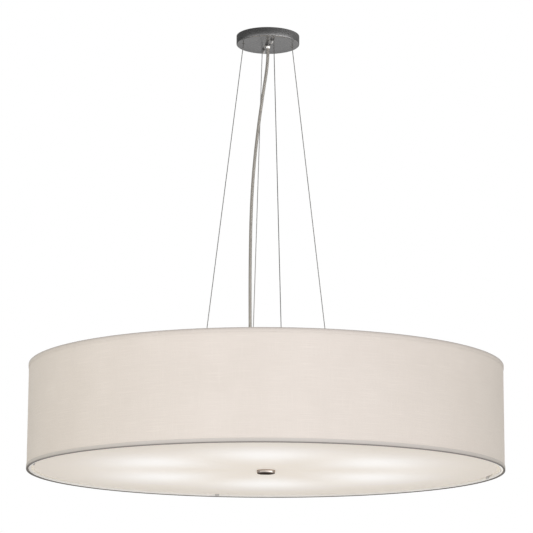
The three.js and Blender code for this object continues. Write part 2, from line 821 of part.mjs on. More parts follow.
// Centre rod: clamped through the pan's floor by two nuts, down through the diffuser to the knob.
const rodAbovePan = 9;
const hexNutWall = 5.15; // a nut's corners beyond the rod
const hexNutRadius = rodRadius + hexNutWall;
const hexNutHeight = 5;
const knobThreadDepth = 4.6;
const diffuserLowZ = shadeBottomZ + diffuserRecess;
const diffuserTopZ = diffuserLowZ + diffuserThickness;
const knobTopZ = diffuserLowZ - clearance;
const knobLowZ = knobTopZ - knobHeight;
const rodLowZ = knobTopZ - knobThreadDepth;
const nutBore = acrossCorners(rodRadius + clearance, smallSegments);
addPiece("centre_rod", bar(rodRadius, rodLowZ, panFloorZ + rodAbovePan, smallSegments), steel);

function hexNut(lowZ) {
  return cutBy(
    bar(hexNutRadius, lowZ, lowZ + hexNutHeight, hexSides),
    hole(nutBore, 0, 0, lowZ, lowZ + hexNutHeight),
  );
}
addPiece("rod_nut_upper", hexNut(panFloorZ + clearance), zinc);
addPiece("rod_nut_lower", hexNut(panBottomZ - clearance - hexNutHeight), zinc);

// Stop nut: the flanged nut on the rod that the knob pulls the diffuser up against.
const stopFlangeRadius = 20;
const stopFlangeHeight = 1.6;
const stopNutLowZ = diffuserTopZ + clearance;
const stopNutTopZ = stopNutLowZ + stopFlangeHeight + hexNutHeight;
addPiece(
  "stop_nut",
  cutBy(
    joined(
      bar(stopFlangeRadius, stopNutLowZ, stopNutLowZ + stopFlangeHeight, roundSegments / 2),
      bar(hexNutRadius, stopNutLowZ, stopNutTopZ, hexSides),
    ),
    hole(nutBore, 0, 0, stopNutLowZ, stopNutTopZ),
  ),
  whitePaint,
);

// Diffuser: a frosted disc that closes the shade from below, between the struts' feet.
const diffuserEdgeGap = 1.8;
const diffuserRadius = footInnerR - diffuserEdgeGap;
addPiece(
  "diffuser",
  pipe(nutBore, diffuserRadius, diffuserLowZ, diffuserTopZ, shadeSegments),
  frosted,
);

// Knob: a low round cap that screws onto the rod's end.
const knobRadius = knobDiameter / 2;
const knobEdge = 0.8;
const knobBody = turned(
  [
    [0, knobLowZ],
    [knobRadius - knobEdge, knobLowZ],
    [knobRadius, knobLowZ + knobEdge],
    [knobRadius, knobTopZ - knobEdge],
    [knobRadius - knobEdge, knobTopZ],
    [0, knobTopZ],
  ],
  roundSegments / 2,
);
const knobBore = bar(nutBore, rodLowZ - clearance, knobTopZ + cutOverrun, smallSegments);
addPiece("knob", cutBy(knobBody, knobBore), nickel);

export default chandelier;
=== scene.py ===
import bpy
import bmesh
import math
from mathutils import Matrix, Vector


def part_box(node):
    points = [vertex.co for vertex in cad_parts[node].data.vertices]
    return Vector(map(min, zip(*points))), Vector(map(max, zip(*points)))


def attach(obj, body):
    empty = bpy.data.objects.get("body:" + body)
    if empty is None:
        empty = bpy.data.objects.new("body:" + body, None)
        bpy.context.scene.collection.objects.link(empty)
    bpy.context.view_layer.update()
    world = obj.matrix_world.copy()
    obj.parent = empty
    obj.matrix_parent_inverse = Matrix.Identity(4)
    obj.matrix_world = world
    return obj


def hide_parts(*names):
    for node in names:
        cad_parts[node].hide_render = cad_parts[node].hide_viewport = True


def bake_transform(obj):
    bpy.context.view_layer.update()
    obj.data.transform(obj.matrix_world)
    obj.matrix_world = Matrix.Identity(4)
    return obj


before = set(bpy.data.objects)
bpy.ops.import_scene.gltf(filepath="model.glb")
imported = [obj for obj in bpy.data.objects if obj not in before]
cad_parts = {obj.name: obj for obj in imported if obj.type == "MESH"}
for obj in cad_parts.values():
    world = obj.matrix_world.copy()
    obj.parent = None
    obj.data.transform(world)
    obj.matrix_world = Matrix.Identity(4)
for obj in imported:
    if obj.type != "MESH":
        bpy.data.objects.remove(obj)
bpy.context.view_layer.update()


view = {
    "place": (0.0288, -4.4896, -1.3909), "turn": math.radians(-0.337), "pitch": math.radians(11.62),
    "roll": math.radians(0.118), "lens": 158.64, "lensShift": -0.0538,
}


def addObject(name, data):
    added = bpy.data.objects.new(name, data)
    bpy.context.collection.objects.link(added)
    return added


def placeCamera(place, turn, pitch, roll, lens, lensShift):
    data = bpy.data.cameras.new("photoCamera")
    data.lens = lens
    data.sensor_width = 36
    data.shift_x = lensShift
    data.clip_end = 50
    camera = addObject("photoCamera", data)
    aim = Matrix.Rotation(turn, 4, "Z") @ Matrix.Rotation(math.pi / 2 + pitch, 4, "X")
    camera.matrix_world = Matrix.Translation(place) @ aim @ Matrix.Rotation(roll, 4, "Z")
    bpy.context.scene.camera = camera


placeCamera(**view)
print("camera placed")


def feed(value, socket):
    if isinstance(value, bpy.types.NodeSocket):
        socket.id_data.links.new(value, socket)
    else:
        socket.default_value = value


def addNode(tree, kind, inputs=None, **settings):
    node = tree.nodes.new(kind)
    for name, value in settings.items():
        setattr(node, name, value)
    for name, value in (inputs or {}).items():
        feed(value, node.inputs[name])
    return node


# A node in the tree of the first linked value, with the values fed to its inputs.
def chain(kind, values, labels=None, **settings):
    tree = next(value.id_data for value in values if isinstance(value, bpy.types.NodeSocket))
    return addNode(tree, kind, dict(zip(labels or range(len(values)), values)), **settings)


def calc(operation, *values):
    return chain("ShaderNodeMath", values, operation=operation).outputs[0]


def times(first, second):
    return calc("MULTIPLY", first, second)


def plus(first, second):
    return calc("ADD", first, second)


def timesPlus(value, factor, offset):
    return calc("MULTIPLY_ADD", value, factor, offset)


def clampTo(value, low, high):
    labels = ("Value", "From Min", "From Max")
    return chain("ShaderNodeMapRange", (value, low, high), labels, clamp=True).outputs["Result"]


def noiseOf(vector, scale, detail=3.0, roughness=0.5):
    labels = ("Vector", "Scale", "Detail", "Roughness")
    return chain("ShaderNodeTexNoise", (vector, scale, detail, roughness), labels).outputs["Fac"]


def vectorOf(*parts):
    return chain("ShaderNodeCombineXYZ", parts).outputs[0]


def partsOf(vector):
    return chain("ShaderNodeSeparateXYZ", [vector]).outputs


def mixColours(amount, first, second):
    return chain("ShaderNodeMix", (amount, first, second), (0, 6, 7), data_type="RGBA").outputs[2]


# A shader group's tree. An input without a value is a vector, and the rest are numbers.
def startGroup(name, inputs, outputs):
    tree = bpy.data.node_groups.new(name, "ShaderNodeTree")
    for label, value in inputs.items():
        kind = "NodeSocketVector" if value is None else "NodeSocketFloat"
        socket = tree.interface.new_socket(label, in_out="INPUT", socket_type=kind)
        if value is not None:
            socket.default_value = value
    for label in outputs:
        tree.interface.new_socket(label, in_out="OUTPUT", socket_type="NodeSocketFloat")
    return tree, addNode(tree, "NodeGroupInput").outputs, addNode(tree, "NodeGroupOutput").inputs


def useGroup(group, **values):
    return chain("ShaderNodeGroup", list(values.values()), list(values), node_tree=group).outputs


# Round coordinates about a piece's vertical axis: angle, distance out, height.
def makeRoundPlaces():
    tree, start, end = startGroup("roundPlaces", {"Vector": None}, ["Angle", "Radius", "Height"])
    x, y, z = partsOf(start["Vector"])
    feed(calc("ARCTAN2", y, x), end["Angle"])
    feed(calc("SQRT", plus(times(x, x), times(y, y))), end["Radius"])
    feed(z, end["Height"])
    return tree


# Plain weave with uneven threads, read from metres across and along the cloth.
def makeWeave(slubLength=20, slubWidth=1500):
    inputs = {"Across": 0.0, "Along": 0.0, "Threads": 1800.0, "Slub": 0.5}
    tree, start, end = startGroup("plainWeave", inputs, ["Height", "Shade"])
    across, along = start["Across"], start["Along"]
    perMetre = times(start["Threads"], math.pi)
    warp, weft = (calc("SINE", times(way, perMetre)) for way in (across, along))
    crossings = timesPlus(times(warp, weft), 0.5, 0.5)
    longWays = vectorOf(times(across, slubLength * 0.9), times(along, slubWidth), 0.0)
    crossWays = vectorOf(times(across, slubWidth), times(along, slubLength * 1.1), 7.0)
    weftSlubs = clampTo(noiseOf(longWays, 1.0, 2.0), 0.5, 0.78)
    warpSlubs = clampTo(noiseOf(crossWays, 1.0, 2.0), 0.56, 0.82)
    slubs = times(calc("MAXIMUM", weftSlubs, warpSlubs), start["Slub"])
    feed(plus(crossings, slubs), end["Height"])
    feed(plus(timesPlus(crossings, 0.35, 0.65), times(slubs, 0.4)), end["Shade"])
    return tree


# Fine lines left by turning or brushing, which run round the axis, and wide dull patches.
def makeBrushLines(patchScale=60):
    inputs = {"Angle": 0.0, "Radius": 0.0, "Height": 0.0, "Fineness": 2500.0}
    tree, start, end = startGroup("brushLines", inputs, ["Lines", "Patches"])
    looks = (("Lines", start["Fineness"], 3, 2.0), ("Patches", patchScale, 2, 4.0))
    for label, scale, turns, detail in looks:
        out, up = times(start["Radius"], scale), times(start["Height"], scale)
        feed(noiseOf(vectorOf(times(start["Angle"], turns), out, up), 1.0, detail), end[label])
    return tree


# The faint ripple of sprayed or dipped paint, with a little dust in it.
def makePaintSkin(dustScale=38.0):
    tree, start, end = startGroup("paintSkin", {"Vector": None, "Size": 400.0}, ["Ripple", "Dust"])
    feed(noiseOf(start["Vector"], start["Size"], 2.0), end["Ripple"])
    feed(clampTo(noiseOf(start["Vector"], dustScale, 6.0, 0.7), 0.48, 0.8), end["Dust"])
    return tree


roundPlaces = makeRoundPlaces()
plainWeave = makeWeave()
brushLines = makeBrushLines()
paintSkin = makePaintSkin()


# A new material's Principled inputs, and the place of a point on the piece.
def startMaterial(name):
    material = bpy.data.materials.new(name)
    material.use_nodes = True
    tree = material.node_tree
    tree.nodes.clear()
    shader = addNode(tree, "ShaderNodeBsdfPrincipled")
    addNode(tree, "ShaderNodeOutputMaterial", {"Surface": shader.outputs[0]})
    return shader.inputs, addNode(tree, "ShaderNodeTexCoord").outputs["Object"]


# Feeds the shader's inputs, and gives it a relief of a depth in metres.
def finishMaterial(shader, inputs, relief, depth, strength=0.5):
    for label, value in inputs.items():
        feed(value, shader[label])
    bump = chain("ShaderNodeBump", (strength, depth, relief), ("Strength", "Distance", "Height"))
    feed(bump.outputs["Normal"], shader["Normal"])


def toned(colour, share):
    return [part * share for part in colour[:3]] + [1]


# Painted shade towards a folded edge: the colour darkens near the edge, darker still in a thin band along the
# edge itself, and darkest where that band turns under and inward, where less light falls.
def paintedFoldShade(height, radius, fold):
    off = calc("ABSOLUTE", calc("SUBTRACT", height, fold["edge"]))
    fading = calc("POWER", math.e, calc("DIVIDE", off, -fold["fade"]))
    share = timesPlus(fading, -fold["drop"], fold["share"])
    crease = clampTo(off, fold["crease"] * 0.8, fold["crease"] * 1.2)
    outside = clampTo(radius, fold["outer"] - 0.0012, fold["outer"] - 0.0003)
    least = timesPlus(outside, fold["creaseShare"] - fold["underShare"], fold["underShare"])
    return times(share, timesPlus(crease, calc("SUBTRACT", 1, least), least))


def makeCloth(name, fold, reach, threads, slub, cloudScale, dark, light, sheen, relief):
    shader, spot = startMaterial(name)
    angle, radius, height = useGroup(roundPlaces, Vector=spot)
    across, along = times(angle, reach), plus(height, radius)
    weave = useGroup(plainWeave, Across=across, Along=along, Threads=threads, Slub=slub)
    amount = times(weave["Shade"], timesPlus(noiseOf(spot, cloudScale), 0.3, 0.85))
    colour = mixColours(clampTo(amount, 0.55, 1.15), dark, light)
    # Painted shade darkens the cloth towards its folded edge.
    inputs = {
        "Base Color": mixColours(paintedFoldShade(height, radius, fold), fold["shadow"], colour),
        "Roughness": 0.95,
        "Sheen Weight": sheen,
        "Sheen Roughness": 0.6,
        "Specular IOR Level": 0.15,
    }
    finishMaterial(shader, inputs, weave["Height"], relief)


def makeMetal(name, colour, roughness, fineness, depth, stain=0.12, edgeTint=(1, 1, 1, 1)):
    shader, spot = startMaterial(name)
    places = dict(useGroup(roundPlaces, Vector=spot).items())
    lines, patches = useGroup(brushLines, Fineness=fineness, **places)
    spread = timesPlus(lines, 0.14, roughness - 0.07)
    inputs = {
        "Base Color": mixColours(patches, toned(colour, 1 - stain), colour),
        "Metallic": 1.0,
        "Specular Tint": edgeTint,
        "Roughness": plus(spread, times(patches, 0.05)),
    }
    finishMaterial(shader, inputs, lines, depth, 0.4)


def makePaint(name, colour, roughness, size, depth, coat=0.0, paintedGlow=None):
    shader, spot = startMaterial(name)
    ripple, dust = useGroup(paintSkin, Vector=spot, Size=size)
    inputs = {
        "Base Color": mixColours(dust, colour, toned(colour, 0.96)),
        "Roughness": timesPlus(dust, 0.2, roughness),
        "Coat Weight": coat,
    }
    # Painted glow: emission that stands in for the lamps' light falling on the piece, not a lamp of its own.
    if paintedGlow:
        inputs |= {"Emission Color": paintedGlow, "Emission Strength": 1.0}
    finishMaterial(shader, inputs, ripple, depth)


# White coat on the wire ring with painted light: an emission stands in for the lamps' light falling on it,
# the most on its right-hand side and the outer half of the wire.
def makePaintedLightCoat(name, size, right, outside, colour, dusty, paintedGlow, paintedSideGlow, relief):
    shader, spot = startMaterial(name)
    ripple, dust = useGroup(paintSkin, Vector=spot, Size=size)
    radius = useGroup(roundPlaces, Vector=spot)["Radius"]
    # Mask for the painted side light: the right-hand side of the ring and the outer half of its wire.
    side = times(clampTo(partsOf(spot)[0], *right), clampTo(radius, *outside))
    inputs = {
        "Base Color": mixColours(dust, colour, dusty),
        "Emission Color": mixColours(side, paintedGlow, paintedSideGlow),
        "Emission Strength": 1.0,
        "Roughness": 0.5,
    }
    finishMaterial(shader, inputs, ripple, relief)


# Frosted sheet with painted light: an emission stands in for the lamps' light coming through it, a soft ring
# brighter over each lamp and an even glow that is stronger towards the middle.
def makeFrosted(
    name, colour, evenColour, even, middle, rimFade, lobeColour, lobeShare, lamps, firstLamp, lampRadius,
    spread, size, relief
):
    shader, spot = startMaterial(name)
    angle, radius = useGroup(roundPlaces, Vector=spot)[:2]
    fromLamp = times(calc("SUBTRACT", angle, firstLamp), lamps)
    lobes = timesPlus(calc("COSINE", fromLamp), 0.5, 0.5)
    off = calc("DIVIDE", calc("SUBTRACT", radius, lampRadius), spread)
    ring = calc("POWER", math.e, times(times(off, off), -1))
    lit = times(ring, timesPlus(lobes, lobeShare, 1 - lobeShare))
    inward = calc("SUBTRACT", 1, clampTo(radius, *rimFade))
    level = timesPlus(inward, middle, even)
    channels = zip(evenColour, lobeColour)
    ripple, dust = useGroup(paintSkin, Vector=spot, Size=size)
    inputs = {
        "Emission Color": vectorOf(*(timesPlus(lit, lobe, times(level, base)) for base, lobe in channels)),
        "Emission Strength": 1.0,
        "Base Color": mixColours(dust, colour, toned(colour, 0.96)),
        "Roughness": timesPlus(ripple, 0.1, 0.42),
    }
    finishMaterial(shader, inputs, ripple, relief)


# Braid under a clear jacket. The piece's UV map holds turns round the cord and metres along it.
def makeBraid(name, strands, pitch, grimeScale, dark, light, relief):
    shader, spot = startMaterial(name)
    turns, metres = partsOf(addNode(spot.id_data, "ShaderNodeTexCoord").outputs["UV"])[:2]
    around = times(turns, strands * 2 * math.pi)
    along = times(metres, 2 * math.pi / pitch)
    ridges = calc("MAXIMUM", *(calc("SINE", calc(way, around, along)) for way in ("ADD", "SUBTRACT")))
    grime = noiseOf(spot, grimeScale, 4.0)
    tone = plus(clampTo(ridges, -0.2, 1.0), times(grime, 0.3))
    inputs = {
        "Base Color": mixColours(clampTo(tone, 0.1, 1.2), dark, light),
        "Metallic": 0.55,
        "Roughness": timesPlus(grime, 0.15, 0.38),
        "Coat Weight": 1.0,
        "Coat Roughness": 0.12,
    }
    finishMaterial(shader, inputs, ridges, relief)


# Opal glass with its lamp lit: dim and warm at the neck, bright and whiter out at the globe.
def makeLitGlass(name, hazeScale, neckAt, globeAt, colour, neckGlow, globeGlow, strength, relief):
    shader, spot = startMaterial(name)
    radius = useGroup(roundPlaces, Vector=spot)["Radius"]
    haze = noiseOf(spot, hazeScale)
    out = clampTo(radius, neckAt, globeAt)
    inputs = {
        "Base Color": mixColours(haze, colour, toned(colour, 1.02)),
        "Roughness": timesPlus(haze, 0.1, 0.22),
        "Emission Color": mixColours(out, neckGlow, globeGlow),
        "Emission Strength": strength,
    }
    finishMaterial(shader, inputs, haze, relief, 0.3)


shadeRadius = 0.4572
clothLook = {
    "light": (0.80, 0.732, 0.625, 1), "dark": (0.63, 0.567, 0.47, 1), "threads": 1500.0, "slub": 0.6,
    "sheen": 0.25, "reach": 0.457, "cloudScale": 9.0, "relief": 0.00012,
}
hemLook = clothLook | {
    "light": (0.78, 0.735, 0.64, 1),
    "dark": (0.61, 0.565, 0.48, 1),
    "threads": 1700.0,
    "slub": 0.3,
    "sheen": 0.2,
}
# Painted shade at the folded edges: where each edge is, how dark the painted shade gets and how fast it
# fades, and the colour of the painted shadow.
lowerFold = {
    "edge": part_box("bottom_trim")[0][2], "share": 0.84, "drop": 0.42, "fade": 0.003, "crease": 0.0018,
    "creaseShare": 0.34, "underShare": 0.02, "outer": shadeRadius, "shadow": (0.13, 0.115, 0.1, 1),
}
upperFold = lowerFold | {
    "edge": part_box("top_trim")[1][2],
    "share": 1.0,
    "drop": 0.62,
    "crease": 0.0008,
    "creaseShare": 0.75,
    "underShare": 0.3,
}
# The main cloth takes the upper fold's painted shade, which darkens it towards the top edge.
makeCloth("shadeCloth", upperFold, **clothLook)
makeCloth("lowerHemCloth", lowerFold, **hemLook)
makeCloth("upperHemCloth", upperFold, **clothLook)

# Painted light on the diffuser: the even glow, the ring over the lamps, and where the glow fades towards the
# rim.
diffuserLook = {
    "colour": (0.82, 0.755, 0.66, 1), "evenColour": (1.0, 0.92, 0.82), "even": 0.2, "middle": 0.105,
    "rimFade": (0.25, 0.43), "lobeColour": (0.15, 0.19, 0.24), "lobeShare": 0.65, "lamps": 6,
    "firstLamp": math.pi / 6, "lampRadius": 0.238, "spread": 0.1, "size": 900.0, "relief": 0.00006,
}
makeFrosted("frostedAcrylic", **diffuserLook)

# Settings of the wire ring's white coat and of its painted light.
paintedRingLight = {
    "colour": (0.86, 0.85, 0.82, 1), "dusty": (0.8, 0.79, 0.76, 1), "right": (0.42, 0.445),
    "outside": (0.4495, 0.4515), "paintedGlow": (0.11, 0.1, 0.085, 1), "paintedSideGlow": (0.5, 0.48, 0.44, 1),
    "size": 900.0, "relief": 0.00012,
}
makePaintedLightCoat("paintedLightCoat", **paintedRingLight)

litLamp = {
    "colour": (0.72, 0.7, 0.66, 1), "hazeScale": 45.0, "neckAt": 0.176, "globeAt": 0.235,
    "neckGlow": (0.16, 0.11, 0.06, 1), "globeGlow": (1.0, 0.9, 0.76, 1), "strength": 1.7,
    "relief": 0.0001,
}
makeLitGlass("lampGlass", **litLamp)

braidLook = {
    "light": (0.6, 0.57, 0.5, 1), "dark": (0.17, 0.15, 0.12, 1), "pitch": 0.0042, "strands": 6,
    "grimeScale": 160.0, "relief": 0.0002,
}
makeBraid("cordBraid", **braidLook)

# Colour, roughness, lines to the metre and their depth in metres, then any staining and tint at the edges.
metals = {
    "brushedNickel": ((0.405, 0.4, 0.4, 1), 0.24, 2600.0, 0.00002),
    "turnedNickel": ((0.6, 0.53, 0.48, 1), 0.09, 4200.0, 0.000002, 0.06, (0.3, 0.24, 0.2, 1)),
    "polishedNickel": ((0.8, 0.79, 0.78, 1), 0.04, 6000.0, 0.000004, 0.05),
    "shellNickel": ((0.74, 0.72, 0.68, 1), 0.22, 1500.0, 0.00002, 0.15),
    "zincPlate": ((0.62, 0.63, 0.65, 1), 0.4, 900.0, 0.00003, 0.25),
    "cableWire": ((0.38, 0.37, 0.36, 1), 0.36, 5000.0, 0.00002, 0.3),
}
# Colour, roughness, the ripple's scale and depth in metres, then any clear coat and any painted glow:
# emission that stands in for lamp light falling on the piece.
paints = {
    # The liner's painted glow stands in for the lit lamps' light on its inside.
    "linerPlasticWithPaintedGlow": ((0.88, 0.86, 0.82, 1), 0.45, 120.0, 0.0001, 0.0, (0.085, 0.078, 0.066, 1)),
    "whiteEnamel": ((0.86, 0.85, 0.82, 1), 0.3, 260.0, 0.0001, 0.3),
    "powderCoat": ((0.8, 0.79, 0.76, 1), 0.5, 900.0, 0.00012),
    "strutPaint": ((0.62, 0.61, 0.59, 1), 0.45, 900.0, 0.0001),
    "glazedPorcelain": ((0.84, 0.82, 0.78, 1), 0.16, 90.0, 0.00012, 0.6),
    "connectorPlastic": ((0.6, 0.58, 0.52, 1), 0.4, 300.0, 0.00008),
    "wireBlack": ((0.03, 0.03, 0.032, 1), 0.42, 500.0, 0.00005),
    "wireWhite": ((0.75, 0.74, 0.7, 1), 0.4, 500.0, 0.00005),
    "wireGreen": ((0.05, 0.22, 0.08, 1), 0.42, 500.0, 0.00005),
}
for name, look in metals.items():
    makeMetal(name, *look)
for name, look in paints.items():
    makePaint(name, *look)
print("materials made")


def deselectAll():
    bpy.ops.object.select_all(action="DESELECT")


def makeActive(piece):
    deselectAll()
    bpy.context.view_layer.objects.active = piece
    piece.select_set(True)


def editStart(piece):
    makeActive(piece)
    bpy.ops.object.mode_set(mode="EDIT")
    bpy.ops.mesh.select_all(action="SELECT")


def editEnd():
    bpy.ops.object.mode_set(mode="OBJECT")


# Pulls out what is selected in edit mode.
def extrude(*way):
    bpy.ops.mesh.extrude_region_move(TRANSFORM_OT_translate={"value": way})


# A new primitive at the origin, made by one of Blender's own operators.
def startPiece(name, add, **settings):
    deselectAll()
    add(location=(0, 0, 0), **settings)
    piece = bpy.context.active_object
    piece.name = piece.data.name = name
    return piece


# A round piece about Z, drawn up ring by ring. Each ring is (distance out, height).
def turnPiece(name, rings, steps, hollow=False):
    piece = startPiece(name, bpy.ops.mesh.primitive_circle_add, vertices=steps, radius=rings[0][0])
    bpy.ops.object.mode_set(mode="EDIT")
    bpy.ops.mesh.select_mode(type="VERT")
    bpy.ops.mesh.select_all(action="SELECT")
    bpy.ops.transform.translate(value=(0, 0, rings[0][1]))
    if not hollow:
        bpy.ops.mesh.edge_face_add()
    for (oldRadius, oldHeight), (radius, height) in zip(rings, rings[1:]):
        extrude(0, 0, height - oldHeight)
        share = radius / oldRadius
        bpy.ops.transform.resize(value=(share, share, 1), center_override=(0, 0, height))
    if hollow:
        bpy.ops.object.mode_set(mode="OBJECT")
        for vertex in piece.data.vertices:
            vertex.select = vertex.index < steps or vertex.index >= steps * (len(rings) - 1)
        bpy.ops.object.mode_set(mode="EDIT")
        bpy.ops.mesh.bridge_edge_loops()
    bpy.ops.mesh.select_all(action="SELECT")
    bpy.ops.mesh.normals_make_consistent(inside=False)
    editEnd()
    return piece


# Points on an arc, for a piece's rings. Its angles are in degrees from straight down.
def arc(out, height, radius, start, end, steps):
    turns = [math.radians(start + (end - start) * i / steps) for i in range(steps + 1)]
    return [(out + radius * math.sin(turn), height - radius * math.cos(turn)) for turn in turns]


# The outline of a ring-shaped wall with eased edges.
def roundedWall(inner, outer, low, high, edge):
    return [
        (inner, low + edge), (inner + edge, low), (outer - edge, low), (outer, low + edge),
        (outer, high - edge), (outer - edge, high), (inner + edge, high), (inner, high - edge),
    ]


# A rod's outline with a thread on it, as rings from the low end up.
def threadRings(radius, low, high, pitch, depth):
    rings = [(radius - depth * 1.6, low)]
    height = low + pitch * 0.3
    while height + pitch < high:
        rings += [(radius - depth, height), (radius, height + pitch * 0.45), (radius, height + pitch * 0.55)]
        height += pitch
    return rings + [(radius - depth, height), (radius - depth * 1.6, high)]


def applyModifier(piece, kind, **settings):
    makeActive(piece)
    modifier = piece.modifiers.new("work", kind)
    for name, value in settings.items():
        setattr(modifier, name, value)
    bpy.ops.object.modifier_apply(modifier="work")


def smooth(piece, angle):
    makeActive(piece)
    bpy.ops.object.shade_smooth_by_angle(angle=math.radians(angle))


def joinPieces(main, others):
    makeActive(main)
    for other in others:
        other.select_set(True)
    if others:
        bpy.ops.object.join()
    return main


def combine(piece, operation, tool):
    applyModifier(piece, "BOOLEAN", operation=operation, object=tool, solver="EXACT")
    bpy.data.objects.remove(tool)


# Cuts several shapes, which may not overlap each other, out of a piece.
def cutWith(piece, cutters):
    combine(piece, "DIFFERENCE", joinPieces(cutters[0], cutters[1:]))


def shift(piece, x, y, z):
    piece.data.transform(Matrix.Translation((x, y, z)))


def turnMesh(piece, angle):
    piece.data.transform(Matrix.Rotation(angle, 4, "Z"))


# Lays a piece that stands on Z along +X, or nearly, and then moves it.
def lay(piece, x, y, z, angle=math.pi / 2):
    piece.data.transform(Matrix.Translation((x, y, z)) @ Matrix.Rotation(angle, 4, "Y"))


# Scales the vertices that pass a test in or out from the centre line.
def pushOut(piece, share, test):
    for vertex in piece.data.vertices:
        if test(vertex):
            vertex.co.x *= share
            vertex.co.y *= share


# The number of a vertex's spoke, out of so many round the centre line.
def spokeOf(vertex, steps):
    return round(math.atan2(vertex.co.y, vertex.co.x) / (2 * math.pi) * steps)


# A round bar along Z between two heights.
def roundBar(name, radius, low, high, steps, place=(0, 0)):
    add = bpy.ops.mesh.primitive_cylinder_add
    piece = startPiece(name, add, vertices=steps, radius=radius, depth=high - low)
    shift(piece, *place, (low + high) / 2)
    return piece


# Upright holes through a piece. Each is (radius, x, y).
def drillHoles(piece, holes, low, high, steps=32):
    cutWith(piece, [roundBar("cutter", radius, low, high, steps, place) for radius, *place in holes])


# Follows a route: each point with its two side directions and the metres so far.
def walk(route, side):
    travelled = 0.0
    for i, point in enumerate(route):
        ahead = (route[min(i + 1, len(route) - 1)] - route[max(i - 1, 0)]).normalized()
        side = (side - ahead * side.dot(ahead)).normalized()
        if i:
            travelled += (point - route[i - 1]).length
        yield point, side, ahead.cross(side), travelled


# A tube along a route, with turns round it and metres along it in its UV map.
def tubeAlong(name, route, radius, sides, swell=None):
    shape = bmesh.new()
    layer = shape.loops.layers.uv.new("UVMap")
    steep = abs(route[1].z - route[0].z) > (route[1] - route[0]).length / 2
    turns = [2 * math.pi * k / sides for k in range(sides)]
    loops, lengths = [], []
    start = Vector((1, 0, 0) if steep else (0, 0, 1))
    for i, (point, side, other, travelled) in enumerate(walk(route, start)):
        reach = radius * (swell[i] if swell else 1)
        corners = [point + (side * math.cos(turn) + other * math.sin(turn)) * reach for turn in turns]
        loops.append([shape.verts.new(corner) for corner in corners])
        lengths.append(travelled)
    for i in range(len(route) - 1):
        for k in range(sides):
            nextK = (k + 1) % sides
            face = shape.faces.new((loops[i][k], loops[i][nextK], loops[i + 1][nextK], loops[i + 1][k]))
            marks = ((k, i), (k + 1, i), (k + 1, i + 1), (k, i + 1))
            for loop, (turnMark, lengthMark) in zip(face.loops, marks):
                loop[layer].uv = (turnMark / sides, lengths[lengthMark])
            face.smooth = True
    shape.faces.new(reversed(loops[0]))
    shape.faces.new(loops[-1])
    bmesh.ops.recalc_face_normals(shape, faces=shape.faces)
    mesh = bpy.data.meshes.new(name)
    shape.to_mesh(mesh)
    shape.free()
    return addObject(name, mesh)


# A smooth route through its marks, a point every so many metres.
def curvePoints(marks, each):
    points = [Vector(mark) for mark in marks]
    ends = [points[0] * 2 - points[1]] + points + [points[-1] * 2 - points[-2]]
    route = []
    for a, b, c, d in zip(ends, ends[1:], ends[2:], ends[3:]):
        before, here, after = (math.sqrt((q - p).length) for p, q in ((a, b), (b, c), (c, d)))
        leave = ((b - a) / before - (c - a) / (before + here) + (c - b) / here) * here
        arrive = ((c - b) / here - (d - b) / (here + after) + (d - c) / after) * here
        bend, twist = c * 3 - b * 3 - leave * 2 - arrive, b * 2 - c * 2 + leave + arrive
        count = max(2, round((c - b).length / each))
        shares = [k / count for k in range(count)]
        route += [b + leave * t + bend * t ** 2 + twist * t ** 3 for t in shares]
    return route + [points[-1]]


def paint(piece, material):
    piece.data.materials.clear()
    piece.data.materials.append(bpy.data.materials[material])
    return piece


# Paints a finished piece, gives it its body, and hides the CAD nodes that it stands for.
def dress(piece, body, material, slot, *nodes, angle=None):
    if angle:
        smooth(piece, angle)
    if material:
        paint(piece, material)
    if body:
        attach(piece, body)
    if nodes:
        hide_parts(*nodes)
    return piece


# A piece and its copies, turned about the centre line to each of some angles.
def repeatRound(piece, angles, name):
    pieces = [piece] + [piece.copy() for angle in angles[1:]]
    for twin in pieces[1:]:
        twin.data = piece.data.copy()
        bpy.context.collection.objects.link(twin)
    for i, (twin, angle) in enumerate(zip(pieces, angles)):
        twin.name = twin.data.name = f"{name}_{i + 1}"
        turnMesh(twin, angle)
    return pieces


# Dresses a piece and its copies round the centre line. In the names, {} stands for a copy's number.
def dressRound(piece, angles, name, body, material, slot, *nodes, angle):
    smooth(piece, angle)
    for i, twin in enumerate(repeatRound(piece, angles, name)):
        dress(twin, body.format(i + 1), material, slot, *(node.format(i + 1) for node in nodes))


# Selects the faces or edges of a piece in edit mode that pass a test.
def pick(piece, kind, test):
    bpy.ops.mesh.select_mode(type=kind)
    bpy.ops.mesh.select_all(action="DESELECT")
    shape = bmesh.from_edit_mesh(piece.data)
    for part in shape.faces if kind == "FACE" else shape.edges:
        part.select_set(test(part))
    bmesh.update_edit_mesh(piece.data)


# A block between two corners.
def block(name, low, high):
    low, high = Vector(low), Vector(high)
    piece = startPiece(name, bpy.ops.mesh.primitive_cube_add, size=1)
    piece.data.transform(Matrix.Translation((high + low) / 2) @ Matrix.Diagonal((*(high - low), 1)))
    return piece


def bevelEdges(width, rows=2):
    bpy.ops.mesh.bevel(offset=width, segments=rows, affect="EDGES")


def softBlock(name, low, high, edge):
    piece = block(name, low, high)
    editStart(piece)
    bevelEdges(edge)
    editEnd()
    return piece


